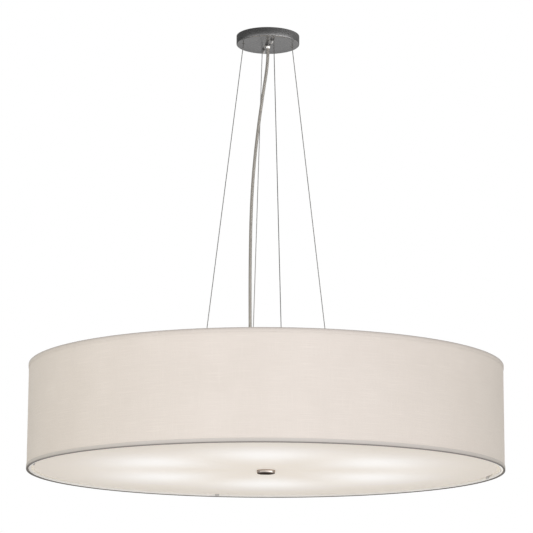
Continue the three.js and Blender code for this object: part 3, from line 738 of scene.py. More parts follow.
# A six-sided nut about Z with turned chamfers and a bore.
def makeNut(name, corner, bore, low, high):
    overrun, flare, rise = 0.001, 0.0008, corner * 0.1
    nut = roundBar(name, corner, low - overrun, high + overrun, 6)
    slim, wide = corner * 0.86, corner * 1.03
    blank = [(slim, low), (wide, low + rise), (wide, high - rise), (slim, high)]
    combine(nut, "INTERSECT", turnPiece("blank", blank, 48))
    mouth, inset = bore + flare, flare / 2
    drill = [(mouth, low - flare), (bore, low + inset), (bore, high - inset), (mouth, high + flare)]
    cutWith(nut, [turnPiece("drill", drill, 32)])
    return nut


def onCircle(radius, angle):
    return (radius * math.cos(angle), radius * math.sin(angle))


# Heights of a CAD node's underside and top.
def heights(node):
    return [corner[2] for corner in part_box(node)]


# The middle of a CAD node, seen from above.
def middleOf(node):
    low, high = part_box(node)
    return (low[0] + high[0]) / 2, (low[1] + high[1]) / 2


fit = 0.0003  # gap between pieces that touch
quarter = math.pi / 2
hangerAngle = math.radians(13.6)  # turn of the cables, arms and struts
hangers = [hangerAngle + i * quarter for i in range(4)]
lampAngles = [math.radians(30 + i * 60) for i in range(6)]
cableOut = 0.0496  # from the centre line to a cable at the canopy
studOut = 0.0349
anchorOut = 0.1326
panWallOut = 0.1453
strutOut = 0.4507
cordOut = (-0.0311, -0.0075)
faceZ = heights("canopy_cover")[0]
shadeLow = heights("bottom_trim")[0]
shadeHigh = heights("top_trim")[1]
lidTop = heights("pan_lid")[1]
lampAxis = sum(heights("lamp_pan")) / 2


def declareCord(route):
    length = sum((b - a).length for a, b in zip(route, route[1:]))
    return round(length, 4)


powerCord = {
    "radius": 0.003,
    "sides": 20,
    "step": 0.004,
    "stillTo": (0, 0, -0.03),
    "movesFrom": (*cordOut, -0.7),
    "route": [
        (0, 0, -0.0085), (0, 0, -0.02), (0, 0, -0.032), (-0.0003, 0, -0.046),
        (-0.0015, -0.0002, -0.062), (-0.0036, -0.0005, -0.08), (-0.0064, -0.0009, -0.1),
        (-0.0098, -0.0014, -0.124), (-0.0136, -0.002, -0.152), (-0.0176, -0.0028, -0.184),
        (-0.0216, -0.0036, -0.22), (-0.0252, -0.0044, -0.258), (-0.0282, -0.0052, -0.298),
        (-0.0304, -0.006, -0.342), (-0.0317, -0.0066, -0.388), (-0.0323, -0.0071, -0.436),
        (-0.0325, -0.0074, -0.486), (-0.0323, -0.0076, -0.536), (-0.0319, -0.0076, -0.584),
        (-0.0315, -0.0075, -0.63), (-0.0312, -0.0075, -0.67), (-0.0311, -0.0075, -0.7),
        (-0.0311, -0.0075, -0.718), (-0.0311, -0.0075, -0.734),
    ],
}


def makePowerCord(route, step, radius, sides, stillTo, movesFrom):
    route = curvePoints(route, step)
    cord = tubeAlong("cordTube", route, radius, sides)
    dress(cord, None, "cordBraid", "cord_jacket", "power_cord")
    print("power cord", declareCord(route), "m")
    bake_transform(cord)


makePowerCord(**powerCord)

cable = {
    "radius": 0.0008, "groove": 0.00012, "strands": 7, "twist": 0.011, "rowsPerTurn": 9,
    "top": (cableOut, 0, -0.018), "end": (anchorOut, 0, -0.7175), "gripDepth": 0.003, "pathSteps": 60,
}


def makeCables(radius, groove, strands, twist, rowsPerTurn, top, end, gripDepth, pathSteps):
    fall = Vector(end) - Vector(top)
    end, top = Vector(end), Vector(top) - fall.normalized() * gripDepth
    length = (end - top).length
    first = startPiece("cable", bpy.ops.mesh.primitive_circle_add, vertices=strands * 4, radius=radius)
    pushOut(first, 1 - groove / radius, lambda vertex: vertex.index % 4 == 0)
    turns = length / twist
    rows = round(turns * rowsPerTurn)
    applyModifier(
        first,
        "SCREW",
        angle=2 * math.pi * turns,
        screw_offset=length,
        steps=rows,
        render_steps=rows,
        use_normal_calculate=True,
    )
    editStart(first)
    bpy.ops.mesh.select_all(action="DESELECT")
    bpy.ops.mesh.select_non_manifold()
    bpy.ops.mesh.fill()
    bpy.ops.mesh.select_all(action="SELECT")
    bpy.ops.mesh.normals_make_consistent(inside=False)
    editEnd()
    lay(first, *end, -math.atan2(fall.x, -fall.z))
    smooth(first, 60)
    for number, piece in enumerate(repeatRound(first, hangers, "cableStrands"), 1):
        turn = Matrix.Rotation(hangers[number - 1], 4, "Z")
        dress(piece, f"suspension_cable_{number}", "cableWire", "cable_steel", f"cable_{number}")
        route = [turn @ top.lerp(end, k / pathSteps) for k in range(pathSteps + 1)]
        measured = declareCord(route)
    print("cables", measured, "m each")


makeCables(**cable)

shade = {
    "steps": 240, "trim": 0.0006, "clothThick": 0.0006, "linerThick": 0.001, "hemHigh": 0.008,
    "hemInside": 0.006, "fold": 0.0008, "wire": 0.0025, "lapWidth": 0.012, "lapLift": 0.00035,
    "lapAngle": math.radians(100), "weld": 0.006, "weldLift": 0.08,
}


# A hem's outline from the shade's edge inwards, with the height counted from that edge.
def hemOutline(inner, thick, hem, inside, fold, taper):
    outer, bend, ease = shadeRadius, 0.0004, 0.0002
    return [
        (inner, fold), (inner + ease, 0.0003), (inner + fold, 0), (outer - fold, 0), (outer - ease, 0.0003),
        (outer, fold), (outer, hem - taper), (outer - thick * 0.5, hem - taper * 0.4),
        (outer - thick * 0.96, hem), (outer - thick, hem), (outer - thick, thick + bend),
        (outer - thick - bend, thick), (inner + thick + bend, thick), (inner + thick, thick + bend),
        (inner + thick, inside), (inner, inside),
    ]


# The butt weld that closes a wire ring: a swelling on the back of the ring.
def raiseWeld(ring, ringRadius, height, reach, lift):
    level = Vector((0, 0, height))
    for vertex in ring.data.vertices:
        if (vertex.co - level - Vector((0, ringRadius, 0))).length < reach:
            share = 1 + lift * max(0, 1 - abs(vertex.co.x) / reach)
            spoke = Vector((*vertex.co.xy, 0)).normalized() * ringRadius + level
            vertex.co = spoke + (vertex.co - spoke) * share


def makeShade(
    steps, trim, clothThick, linerThick, hemHigh, hemInside, fold, wire, lapWidth, lapLift, lapAngle,
    weld, weldLift
):
    outer = shadeRadius - trim - fit
    inner = outer - clothThick
    low, high = shadeLow + trim + fit, shadeHigh - trim - fit
    cloth = turnPiece("drumCloth", roundedWall(inner, outer, low, high, 0.0002), steps, hollow=True)

    def inLap(vertex):
        off = abs(math.atan2(vertex.co.y, vertex.co.x) - lapAngle) * outer
        return vertex.co.xy.length > (inner + outer) / 2 and off < lapWidth / 2

    pushOut(cloth, 1 + lapLift / outer, inLap)
    dress(cloth, "pendant", "shadeCloth", "shade_fabric", "shade_fabric", angle=35)
    linerOuter = inner - fit
    linerInner = linerOuter - linerThick
    liner = turnPiece("drumLiner", roundedWall(linerInner, linerOuter, low, high, 0.0003), steps, hollow=True)
    dress(liner, "pendant", "linerPlasticWithPaintedGlow", "styrene_liner", "shade_liner", angle=35)
    hemInner = linerInner - fit - trim
    for name, node, edge, up, taper in (
        ("lowerHem", "bottom_trim", shadeLow, 1, 0.0002),
        ("upperHem", "top_trim", shadeHigh, -1, 0.0035),
    ):
        outline = hemOutline(hemInner, trim, hemHigh, hemInside, fold, taper)
        hem = turnPiece(name, [(out, edge + up * height) for out, height in outline], steps, hollow=True)
        dress(hem, "pendant", name + "Cloth", "hem_trim", node, angle=50)
    ringRadius = hemInner - fit - wire
    for name, node, material in (
        ("lowerWireRing", "bottom_ring", "paintedLightCoat"),
        ("upperWireRing", "top_ring", "powderCoat"),
    ):
        height = sum(heights(node)) / 2
        ring = startPiece(
            name,
            bpy.ops.mesh.primitive_torus_add,
            major_segments=steps,
            minor_segments=14,
            major_radius=ringRadius,
            minor_radius=wire * 0.97,
        )
        shift(ring, 0, 0, height)
        raiseWeld(ring, ringRadius, height, weld, weldLift)
        dress(ring, "pendant", material, "frame_steel", node, angle=60)
    print("shade made")


makeShade(**shade)

diffuser = {
    "radius": 0.44245, "hole": 0.00533, "steps": 200, "edge": 0.0006,
    "rowShares": (0.1, 0.25, 0.45, 0.65, 0.85),
}


def makeDiffuser(radius, rowShares, hole, edge, steps):
    low, high = heights("diffuser")
    rows = [radius * share for share in rowShares]
    wall = roundedWall(hole, radius, low, high, edge)
    under, over = [(row, low) for row in rows], [(row, high) for row in reversed(rows)]
    rings = wall[:2] + under + wall[2:6] + over + wall[6:]
    disc = turnPiece("diffuserDisc", rings, steps, hollow=True)
    dress(disc, "diffuser_disc", "frostedAcrylic", "frosted_acrylic", "diffuser", angle=35)


makeDiffuser(**diffuser)

knob = {
    "radius": 0.0177, "lowRadius": 0.01738, "bore": 0.0053, "steps": 72, "crown": 0.0018,
    "crownRows": 7, "grooveShare": 0.985,
}


# The knob: a crowned underside, a tapered side with a groove near the top, and a blind bore for the rod.
def makeKnob(radius, lowRadius, crown, bore, grooveShare, crownRows, steps):
    low, high = heights("knob")
    floor = heights("centre_rod")[0] - fit
    groove = radius * grooveShare
    rings = [(0.004, low), (radius * 0.5, low + 0.00003)]
    rings += arc(lowRadius - crown, low + 0.00008 + crown, crown, 6, 85, crownRows)
    rings += [
        (lowRadius + 0.00003, low + crown + 0.0004), (radius - 0.00002, high - 0.0025),
        (radius, high - 0.0022), (groove, high - 0.0019), (groove, high - 0.0015), (radius, high - 0.0012),
        (radius, high - 0.0005), (radius * 0.98, high), (bore + 0.0004, high), (bore, high - 0.0004),
        (bore, floor), (0.0015, floor - 0.0005),
    ]
    cap = turnPiece("turnedKnob", rings, steps)
    dress(cap, "finial_knob", "turnedNickel", "brushed_nickel", "knob", angle=30)


makeKnob(**knob)
print("diffuser and knob made")

canopy = {
    "radius": 0.0625, "wall": 0.001, "edge": 0.0018, "edgeRows": 8, "steps": 128, "noseHole": 0.0035,
    "studHole": 0.0019, "cordHole": 0.0053,
}


# Rings of a pressed cup from its middle below, round its rim at the top, to its middle inside.
def cupRings(radius, wall, edge, rows, low, rim, middle):
    outside = arc(radius - edge, low + edge, edge, 0, 90, rows)
    inside = arc(radius - edge, low + edge, edge - wall, 90, 0, rows)
    half, top = radius / 2, low + wall
    return [(middle, low), (half, low)] + outside + rim + inside + [(half, top), (middle, top)]


def makeCanopy(radius, wall, edge, edgeRows, steps, cordHole, noseHole, studHole):
    cutReach = 0.01
    rim = [(radius, -0.0006), (radius - 0.0002, 0), (radius - wall + 0.0002, 0), (radius - wall, -0.0004)]
    rings = cupRings(radius, wall, edge, edgeRows, faceZ, rim, 0.003)
    cup = turnPiece("canopyCup", rings, steps)
    holes = [(cordHole, 0, 0)]
    holes += [(noseHole, *onCircle(cableOut, angle)) for angle in hangers]
    holes += [(studHole, *onCircle(studOut, angle)) for angle in hangers[1::2]]
    drillHoles(cup, holes, faceZ - cutReach, faceZ + cutReach)
    dress(cup, "ceiling_mount", "brushedNickel", "brushed_nickel", "canopy_cover", angle=30)


makeCanopy(**canopy)

ballNut = {"ball": 0.0031, "collar": 0.0034, "edge": 0.0003, "bore": 0.0019, "depth": 0.0045, "steps": 32}


def makeBallNuts(ball, collar, edge, bore, depth, steps):
    for number in (1, 2):
        low, high = heights(f"ball_nut_{number}")
        rings = [(ball * 0.12, low)] + arc(0, low + ball, ball, 0, 126, 9)[1:]
        neck = rings[-1][1]
        rings += [
            (collar * 0.8, neck + 0.0001), (collar, neck + 0.0005), (collar, high - edge),
            (collar - edge, high), (bore + edge, high), (bore, high - edge), (bore, high - depth),
            (0.0006, high - depth - 0.0005),
        ]
        nut = turnPiece(f"ballNut_{number}", rings, steps)
        shift(nut, *middleOf(f"ball_nut_{number}"), 0)
        dress(nut, "ceiling_mount", "polishedNickel", "polished_nickel", f"ball_nut_{number}", angle=40)


makeBallNuts(**ballNut)

gland = {"bore": 0.0034, "neck": 0.005, "flange": 0.0064, "flangeHeight": 0.0034, "steps": 36, "tip": 0.0042}


# A cord gland about Z that points down from its seat: a threaded neck, a six-sided flange and a nose.
def makeGland(name, seat, neckLength, bore, neck, flange, tip, flangeHeight, steps):
    nose = [
        (bore, seat - 0.0078), (tip, seat - 0.0078), (tip + 0.0005, seat - 0.0073),
        (neck * 1.03, seat - 0.0052), (neck * 1.08, seat - 0.0036), (neck * 1.08, seat - 0.0031),
        (bore, seat - 0.0031),
    ]
    low, neckLow, neckHigh = seat - flangeHeight, seat - 0.0002, seat + neckLength
    edges = [
        (bore, low), (flange - 0.0006, low), (flange, low + 0.0004), (flange, seat - 0.0004),
        (flange - 0.0004, seat), (bore, seat),
    ]
    screwed = [(bore, neckLow)] + threadRings(neck, neckLow, neckHigh, 0.0012, 0.0004) + [(bore, neckHigh)]
    body = turnPiece(name, nose, steps, hollow=True)
    hexagon = turnPiece("flange", edges, 6, hollow=True)
    return joinPieces(body, [hexagon, turnPiece("neck", screwed, steps, hollow=True)])


grip = makeGland("canopyGland", faceZ - fit, 0.0064, **gland)
dress(grip, "ceiling_mount", "polishedNickel", "brushed_nickel", "cord_grip", angle=30)
print("canopy made")

# Inside the canopy: the cross-shaped bar, its screws and studs, the cable grippers and the locknut.
mountingBar = {
    "width": 0.026, "reach": 0.0561, "thick": 0.0025, "cornerRound": 0.0045, "edge": 0.0003,
    "gripperHole": 0.0033, "ceilingHole": 0.0024, "studHole": 0.0019, "groundHole": 0.0016,
    "groundOut": 0.0095 * math.sqrt(2),
}


def makeMountingBar(
    width, thick, reach, cornerRound, edge, gripperHole, ceilingHole, studHole, groundHole, groundOut
):
    half = width / 2
    plate = block("crossBar", (-half, -half, -thick), (half, half, 0))
    editStart(plate)
    for way in (Vector((1, 0, 0)), Vector((-1, 0, 0)), Vector((0, 1, 0)), Vector((0, -1, 0))):
        side = way * half - Vector((0, 0, thick / 2))
        pick(plate, "FACE", lambda face: (face.calc_center_median() - side).length < thick / 4)
        extrude(*way * (reach - half))

    def upright(edge):
        return abs(edge.verts[0].co.z - edge.verts[1].co.z) > thick / 2

    pick(plate, "EDGE", lambda edge: upright(edge) and edge.verts[0].co.xy.length > reach)
    bevelEdges(cornerRound, 6)
    pick(plate, "EDGE", lambda edge: not upright(edge) and edge.calc_face_angle(0) > 1)
    bevelEdges(edge)
    editEnd()
    holes = [(gripperHole, *onCircle(cableOut, i * quarter)) for i in range(4)]
    holes += [(ceilingHole, side * studOut, 0) for side in (1, -1)]
    holes += [(studHole, 0, side * studOut) for side in (1, -1)]
    holes += [(groundHole, *onCircle(groundOut, quarter / 2))]
    drillHoles(plate, holes, -4 * thick, 4 * thick)
    turnMesh(plate, hangerAngle)
    dress(plate, "ceiling_mount", "zincPlate", "zinc_plated_steel", "mounting_bar", angle=30)


makeMountingBar(**mountingBar)

screw = {"shank": 0.0021, "head": 0.004, "pitch": 0.0009, "thread": 0.0004, "steps": 24, "seat": -0.0028}
stud = {"shank": 0.0016, "pitch": 0.0007, "thread": 0.00026, "steps": 20}


# The cross recess of a screw's head.
def cutRecess(piece, height, length, width, depth, turn=0.0):
    corner = Vector((length / 2, width / 2, depth))
    for extra in (0, quarter):
        blade = softBlock("blade", -corner, corner, width * 0.2)
        turnMesh(blade, turn + extra)
        shift(blade, 0, 0, height)
        cutWith(piece, [blade])


def makeScrews(shank, head, pitch, thread, steps, seat):
    for number in (1, 2):
        node = f"ceiling_screw_{number}"
        low, top = heights(node)
        rings = [(head * 0.6, low), (head * 0.85, low + 0.0003), (head * 0.98, low + 0.001)]
        rings += [(head, low + 0.0016), (head, seat), (shank, seat)]
        rings += threadRings(shank, seat + 0.0006, top, pitch, thread)
        piece = turnPiece(f"barScrew_{number}", rings, steps)
        cutRecess(piece, low, head, head * 0.22, head * 0.36, 0.4 * number)
        shift(piece, *middleOf(node), 0)
        dress(piece, "ceiling_mount", "zincPlate", "zinc_plated_steel", node, angle=35)
        node = f"canopy_stud_{number}"
        rings = threadRings(stud["shank"], *heights(node), stud["pitch"], stud["thread"])
        piece = turnPiece(f"threadedStud_{number}", rings, stud["steps"])
        shift(piece, *middleOf(node), 0)
        dress(piece, "ceiling_mount", "zincPlate", "zinc_plated_steel", node, angle=35)


makeScrews(**screw)

gripper = {
    "bore": 0.00178, "nose": 0.0032, "barrel": 0.0046, "stud": 0.003, "steps": 40, "seat": -0.0167,
    "top": -0.0028, "edge": 0.0004, "knurlLow": -0.0105, "knurlHigh": -0.0058, "knurlShare": 0.955,
    "exitHole": 0.0011, "exitHeight": -0.0042,
}


def makeGrippers(
    bore, nose, barrel, stud, knurlLow, knurlHigh, seat, top, edge, steps, knurlShare, exitHole, exitHeight
):
    low, nick = faceZ - 0.0005, barrel - 0.0003
    rings = [
        (bore, low + 0.0005), (bore + 0.0005, low), (nose - 0.0007, low), (nose, low + 0.0006), (nose, seat),
        (barrel - edge, seat), (barrel, seat + edge), (barrel, knurlLow - edge), (nick, knurlLow - edge / 2),
        (barrel, knurlLow), (barrel, knurlHigh), (nick, knurlHigh + edge / 2), (barrel, knurlHigh + edge),
        (barrel, top - edge), (barrel - edge, top), (stud, top), (stud, -0.0006), (stud - 0.0003, -0.0003),
        (bore, -0.0003),
    ]
    first = turnPiece("cableGripper", rings, steps, hollow=True)

    def inKnurl(vertex):
        between = knurlLow - edge / 4 < vertex.co.z < knurlHigh + edge / 4
        return between and vertex.co.xy.length > barrel * 0.9 and spokeOf(vertex, steps) % 2

    pushOut(first, knurlShare, inKnurl)
    side = roundBar("exit", exitHole, 0, 2 * barrel, 20)
    lay(side, 0, 0, exitHeight)
    cutWith(first, [side])
    shift(first, cableOut, 0, 0)
    look = ("brushedNickel", "brushed_nickel")
    dressRound(first, hangers, "cableGripper", "ceiling_mount", *look, "cable_gripper_{}", angle=25)


makeGrippers(**gripper)

locknut = makeNut("glandLocknut", 0.0076, 0.0053, *heights("cord_grip_nut"))
dress(locknut, "ceiling_mount", "zincPlate", "zinc_plated_steel", "cord_grip_nut", angle=25)

# The cord's three leads, up and over to the terminal block on the canopy's floor.
leads = {"wire": 0.00052, "spread": 0.0006, "twist": 260.0, "step": 0.0006, "angle": hangers[2] + quarter / 2}
terminals = {
    "reach": 0.024, "size": (0.014, 0.009, 0.005), "edge": 0.0006, "low": -0.0167, "hole": 0.0009,
    "screwDepth": 0.0016, "portDepth": 0.002,
}


# A wire wound loosely round a route, at its own place round the bundle.
def strandRoute(route, spread, twist, phase):
    places = []
    for point, side, other, travelled in walk(route, Vector((0, 1, 0))):
        turn = phase + travelled * twist
        places.append(point + (side * math.cos(turn) + other * math.sin(turn)) * spread)
    return places


def makeTerminalBlock(reach, size, edge, low, hole, screwDepth, portDepth):
    length, width, height = size
    start, end, top, overrun = reach - length / 2, reach + length / 2, low + height, 0.001
    piece = softBlock("terminalBlock", (start, -width / 2, low), (end, width / 2, top), edge)
    cutters = []
    for y in (-0.3 * width, 0, 0.3 * width):
        for x in (reach + length * 0.25, reach - length * 0.3):
            cutters.append(roundBar("cutter", hole, top - screwDepth, top + overrun, 16, (x, y)))
        port = roundBar("cutter", hole, 0, portDepth + overrun, 16)
        lay(port, end - portDepth, y, low + height / 2)
        cutters.append(port)
    cutWith(piece, cutters)
    return piece


def makeLeads(wire, spread, twist, step, angle):
    reach, low, height = terminals["reach"], terminals["low"], terminals["size"][2]
    marks = [
        (0, 0, -0.0082), (0, 0, -0.007), (reach * 0.1, 0, -0.0046), (reach * 0.45, 0, -0.004),
        (reach * 0.8, 0, low + height + 0.0006), (reach, 0, low + height / 2),
    ]
    route = curvePoints(marks, step)
    pieces = []
    for i, (name, material) in enumerate(zip(("live", "neutral", "earth"), ("Black", "White", "Green"))):
        places = strandRoute(route, spread, twist, i * 2 * math.pi / 3)
        pieces.append(paint(tubeAlong(name + "Lead", places, wire, 10), "wire" + material))
    connector = makeTerminalBlock(**terminals)
    smooth(connector, 30)
    for piece in pieces + [paint(connector, "connectorPlastic")]:
        turnMesh(piece, angle)
        dress(piece, "ceiling_mount", None, "wire_insulation", "wire_connector")


makeLeads(**leads)
print("canopy's inside made")

# Lamp pan: lid, anchors, cord grip, pan, and the small screws that close the lid.
pan = {
    "radius": 0.145, "wall": 0.0012, "corner": 0.004, "cornerRows": 6, "steps": 144, "edge": 0.0003,
    "rodHole": 0.00535, "nippleHole": 0.008, "ventHole": 0.0025, "ventStep": 0.07,
    "clearOfHangers": 0.06,
}
lid = {
    "edge": 0.0004, "recess": 0.0006, "recessRings": (0.119, 0.1178, 0.1165, 0.0585, 0.0572, 0.056),
    "anchorHole": 0.003, "cordHole": 0.0054, "screwOut": 0.1385, "head": 0.0034, "headHeight": 0.0018,
}


# A round cutter that lies across the centre line at a height, pointing out at an angle.
def sideDrill(radius, fromOut, toOut, height, angle, steps=32):
    tool = roundBar("cutter", radius, fromOut, toOut, steps)
    lay(tool, 0, 0, height)
    turnMesh(tool, angle)
    return tool


def awayFromHanger(angle):
    off = (angle - hangerAngle) % quarter
    return min(off, quarter - off)


def makePan(
    radius, wall, corner, cornerRows, steps, edge, rodHole, nippleHole, ventHole, ventStep, clearOfHangers
):
    low, high = heights("lamp_pan")
    inner = radius - wall
    rim = [(radius, high - edge), (radius - edge, high), (inner + edge, high), (inner, high - edge)]
    rings = cupRings(radius, wall, corner, cornerRows, low, rim, 0.004)
    cup = turnPiece("lampPan", rings, steps)
    cutters = [roundBar("cutter", rodHole, low - 0.003, low + 0.004, 32)]
    across = (radius - 0.006, radius + 0.003, lampAxis)
    for angle in lampAngles:
        cutters.append(sideDrill(nippleHole, *across, angle))
        for k in (-1, 0, 1):
            vent = angle + math.pi / 6 + k * ventStep
            if awayFromHanger(vent) > clearOfHangers:
                cutters.append(sideDrill(ventHole, *across, vent, 20))
    cutWith(cup, cutters)
    dress(cup, "pendant", "whiteEnamel", "white_enamel", "lamp_pan", angle=30)


def makeLid(radius, steps, edge, recess, recessRings, anchorHole, cordHole, head, headHeight, screwOut):
    low, high = heights("pan_lid")
    floor = high - recess
    levels = (high, high - 0.0002, floor, floor, high - 0.0002, high)
    inner, shy = 0.004, radius - edge
    rings = [(inner, low), (shy, low), (radius, low + edge), (radius, high - edge), (shy, high)]
    piece = turnPiece("panLid", rings + list(zip(recessRings, levels)) + [(inner, high)], steps)
    holes = [(anchorHole, *onCircle(anchorOut, angle)) for angle in hangers]
    drillHoles(piece, holes + [(cordHole, *cordOut)], low - 0.003, high + 0.003)
    dress(piece, "pendant", "whiteEnamel", "white_enamel", "pan_lid", angle=30)
    top = high + headHeight
    dome = [(head, high), (head, high + 0.0006), (head * 0.9, top - 0.0004), (head * 0.55, top)]
    dome.append((0.0006, top))
    first = turnPiece("lidScrew", dome, 24)
    cutRecess(first, top, 0.0036, 0.0008, 0.0012)
    shift(first, screwOut, 0, 0)
    between = [angle + quarter / 2 for angle in hangers]
    dressRound(first, between, "lidScrew", "pendant", "zincPlate", "zinc_plated_steel", angle=30)


makePan(**pan)
makeLid(pan["radius"], pan["steps"], **lid)

anchor = {
    "stud": 0.0026, "pitch": 0.0009, "thread": 0.0003, "flange": 0.006, "flangeHeight": 0.002,
    "barrel": 0.004, "edge": 0.0004, "steps": 40, "bore": 0.0015, "boreDepth": 0.005,
    "lean": math.atan2(0.083, 0.6995),
}


def makeAnchors(flange, barrel, edge, flangeHeight, stud, pitch, thread, steps, bore, boreDepth, lean):
    low, high = heights("cable_anchor_1")
    seat = lidTop + fit
    flangeTop, groove = seat + flangeHeight, high - 0.0026
    rings = threadRings(stud, low, seat - 0.0002, pitch, thread) + [
        (flange - edge, seat), (flange, seat + edge), (flange, flangeTop - edge), (flange - edge, flangeTop),
        (barrel + 0.0003, flangeTop), (barrel, flangeTop + 0.0003), (barrel, groove - 2 * edge),
        (barrel - edge, groove - edge), (barrel - edge, groove), (barrel, groove + edge),
        (barrel, high - 2 * edge), (barrel - 2 * edge, high), (2 * edge, high),
    ]
    first = turnPiece("cableAnchor", rings, steps)
    drill = roundBar("drill", bore, -0.0003, 0.012, 28)
    lay(drill, 0, 0, high - boreDepth, -lean)
    cutWith(first, [drill])
    shift(first, anchorOut, 0, 0)
    look = ("polishedNickel", "brushed_nickel")
    dressRound(first, hangers, "cableAnchor", "pendant", *look, "cable_anchor_{}", angle=30)


makeAnchors(**anchor)

panGrip = makeGland("panGland", 0, 0.0072, **gland)
panGrip.data.transform(Matrix.Translation((*cordOut, lidTop + fit)) @ Matrix.Rotation(math.pi, 4, "X"))
dress(panGrip, "pendant", "polishedNickel", "brushed_nickel", "pan_cord_grip", angle=30)
print("lamp pan made")

# Frame: spider arms out to the top ring, and struts down from their ends to the bottom ring.
spider = {
    "wire": 0.0025, "sides": 16, "step": 0.004, "flat": 0.024, "rootDepth": 0.009,
    "end": strutOut + 0.00125, "tip": ((-0.0016, 1.0), (-0.0007, 0.93), (-0.0001, 0.6)), "boss": 0.0048,
}


def makeSpider(end, flat, boss, rootDepth, wire, step, tip, sides):
    start = panWallOut
    rootZ, endZ = lidTop - rootDepth, heights("top_ring")[0] - fit - wire
    marks = [(start + flat * share, 0, rootZ) for share in (0, 0.5, 1)]
    marks += [(end - flat * share, 0, endZ) for share in (1, 0.5, 0)]
    route = curvePoints(marks, step)
    ahead = (route[-1] - route[-2]).normalized()
    swell = [1.0] * (len(route) - 1) + [share for back, share in tip]
    route = route[:-1] + [route[-1] + ahead * back for back, share in tip]
    arm = tubeAlong("spiderArm", route, wire, sides, swell)
    bead = [(0.002, 0), (boss, 0), (boss, 0.0008), (boss * 0.8, 0.0016), (boss * 0.62, 0.0028)]
    weld = turnPiece("weld", bead + [(0.0024, 0.0034)], 28)
    lay(weld, start, 0, rootZ)
    first = joinPieces(arm, [weld])
    dressRound(first, hangers, "spiderArm", "pendant", "powderCoat", "frame_steel", "spider_arm_{}", angle=40)


makeSpider(**spider)

strut = {"rod": 0.002, "inner": 0.44427, "outer": 0.44747, "half": 0.004, "rise": 0.0032, "edge": 0.0005}


def makeStruts(outer, half, edge, rod, inner, rise):
    tip, high = heights("shade_strut_1")
    shelf = heights("bottom_ring")[1] + fit
    foot = block("shadeStrut", (inner, -half, tip), (outer, half, shelf + rise))
    editStart(foot)
    bpy.ops.mesh.bisect(plane_co=(0, 0, shelf), plane_no=(0, 0, 1))
    pick(foot, "FACE", lambda face: face.normal.x > 0.9 and face.calc_center_median().z > shelf)
    extrude(strutOut - outer, 0, 0)
    pick(foot, "EDGE", lambda edge: edge.calc_face_angle(0) > 1)
    bevelEdges(edge)
    editEnd()
    rings = [(rod - edge, shelf), (rod, shelf + edge), (rod, high - edge), (rod - edge, high)]
    post = turnPiece("post", rings, 20)
    shift(post, strutOut, 0, 0)
    combine(foot, "UNION", post)
    look = ("strutPaint", "frame_steel")
    dressRound(foot, hangers, "shadeStrut", "pendant", *look, "shade_strut_{}", angle=35)


makeStruts(**strut)
print("shade frame made")

# Lampholders and lamps. Each is turned about Z and then laid along +X at the lamps' height.
holder = {
    "back": panWallOut, "backWall": 0.007, "depth": 0.025, "nipple": 0.0075, "bore": 0.01366,
    "body": 0.01546, "lip": 0.01686, "steps": 64, "ribStep": 4, "ribShare": 1.02, "ribsFrom": 0.008,
    "pitch": 0.0036,
}


def makeHolders(back, body, lip, bore, nipple, backWall, depth, ribsFrom, pitch, steps, ribStep, ribShare):
    floor = back + backWall
    mouth = floor + depth
    waist, ribsLow = body - 0.0005, back + ribsFrom
    rings = threadRings(nipple, back - 0.0062, back - 0.0004, 0.001, 0.0003) + [
        (body - 0.0012, back), (body - 0.0003, back + 0.0004), (body, back + 0.0014), (body, back + 0.006),
        (waist, back + 0.0065), (waist, back + 0.0075), (body, ribsLow), (body, mouth - 0.0044),
        (lip - 0.0004, mouth - 0.003), (lip, mouth - 0.0026), (lip, mouth - 0.0006), (lip - 0.0006, mouth),
        (bore + 0.0006, mouth), (bore, mouth - 0.0006),
    ]
    height, crest = mouth - 0.003, bore - 0.0003
    while height > floor + 0.005:
        rings += [(bore, height), (crest, height - 0.0008), (crest, height - 0.0018), (bore, height - 0.0026)]
        height -= pitch
    rings += [(bore, floor), (0.0045, floor), (0.0042, floor - 0.0006), (0.0008, floor - 0.0006)]
    first = turnPiece("lampHolder", rings, steps)

    def onRib(vertex):
        outside = ribsLow < vertex.co.z < mouth - 0.0043 and vertex.co.xy.length > bore + 0.0005
        return outside and spokeOf(vertex, steps) % ribStep == 0

    pushOut(first, ribShare, onRib)
    lay(first, 0, 0, lampAxis)
    look = ("glazedPorcelain", "porcelain")
    dressRound(first, lampAngles, "lampHolder", "pendant", *look, "lamp_socket_{}", angle=35)


makeHolders(**holder)

glass = {
    "tip": 0.1526, "length": 0.112, "ball": 0.03, "globeStart": -40, "globeRows": 16, "neck": 0.0119,
    "neckRows": 10,
}
lampBase = {"base": 0.0131, "length": 0.025, "pitch": 0.0036, "threadDepth": 0.0007, "steps": 72}


# The glass: a neck that flares with an ease into the globe.
def glassRings(low, tip, length, ball, globeStart, globeRows, neck, neckRows):
    centre = tip + length - ball
    globe = arc(0, centre, ball, 90 + globeStart, 180, globeRows)
    joinR, joinZ = globe[0]
    rings = [(neck - 0.0012, low - 0.002), (neck, low + 0.0004), (neck + 0.0001, low + 0.0022)]
    flareZ = rings[-1][1]
    for i in range(1, neckRows):
        t = i / neckRows
        ease = t * t * (3 - 2 * t)
        rings.append((neck + (joinR - neck) * (0.35 * t + 0.65 * ease), flareZ + (joinZ - flareZ) * t))
    return rings + globe[:-1] + [(ball * 0.02, centre + ball * 0.9998)]


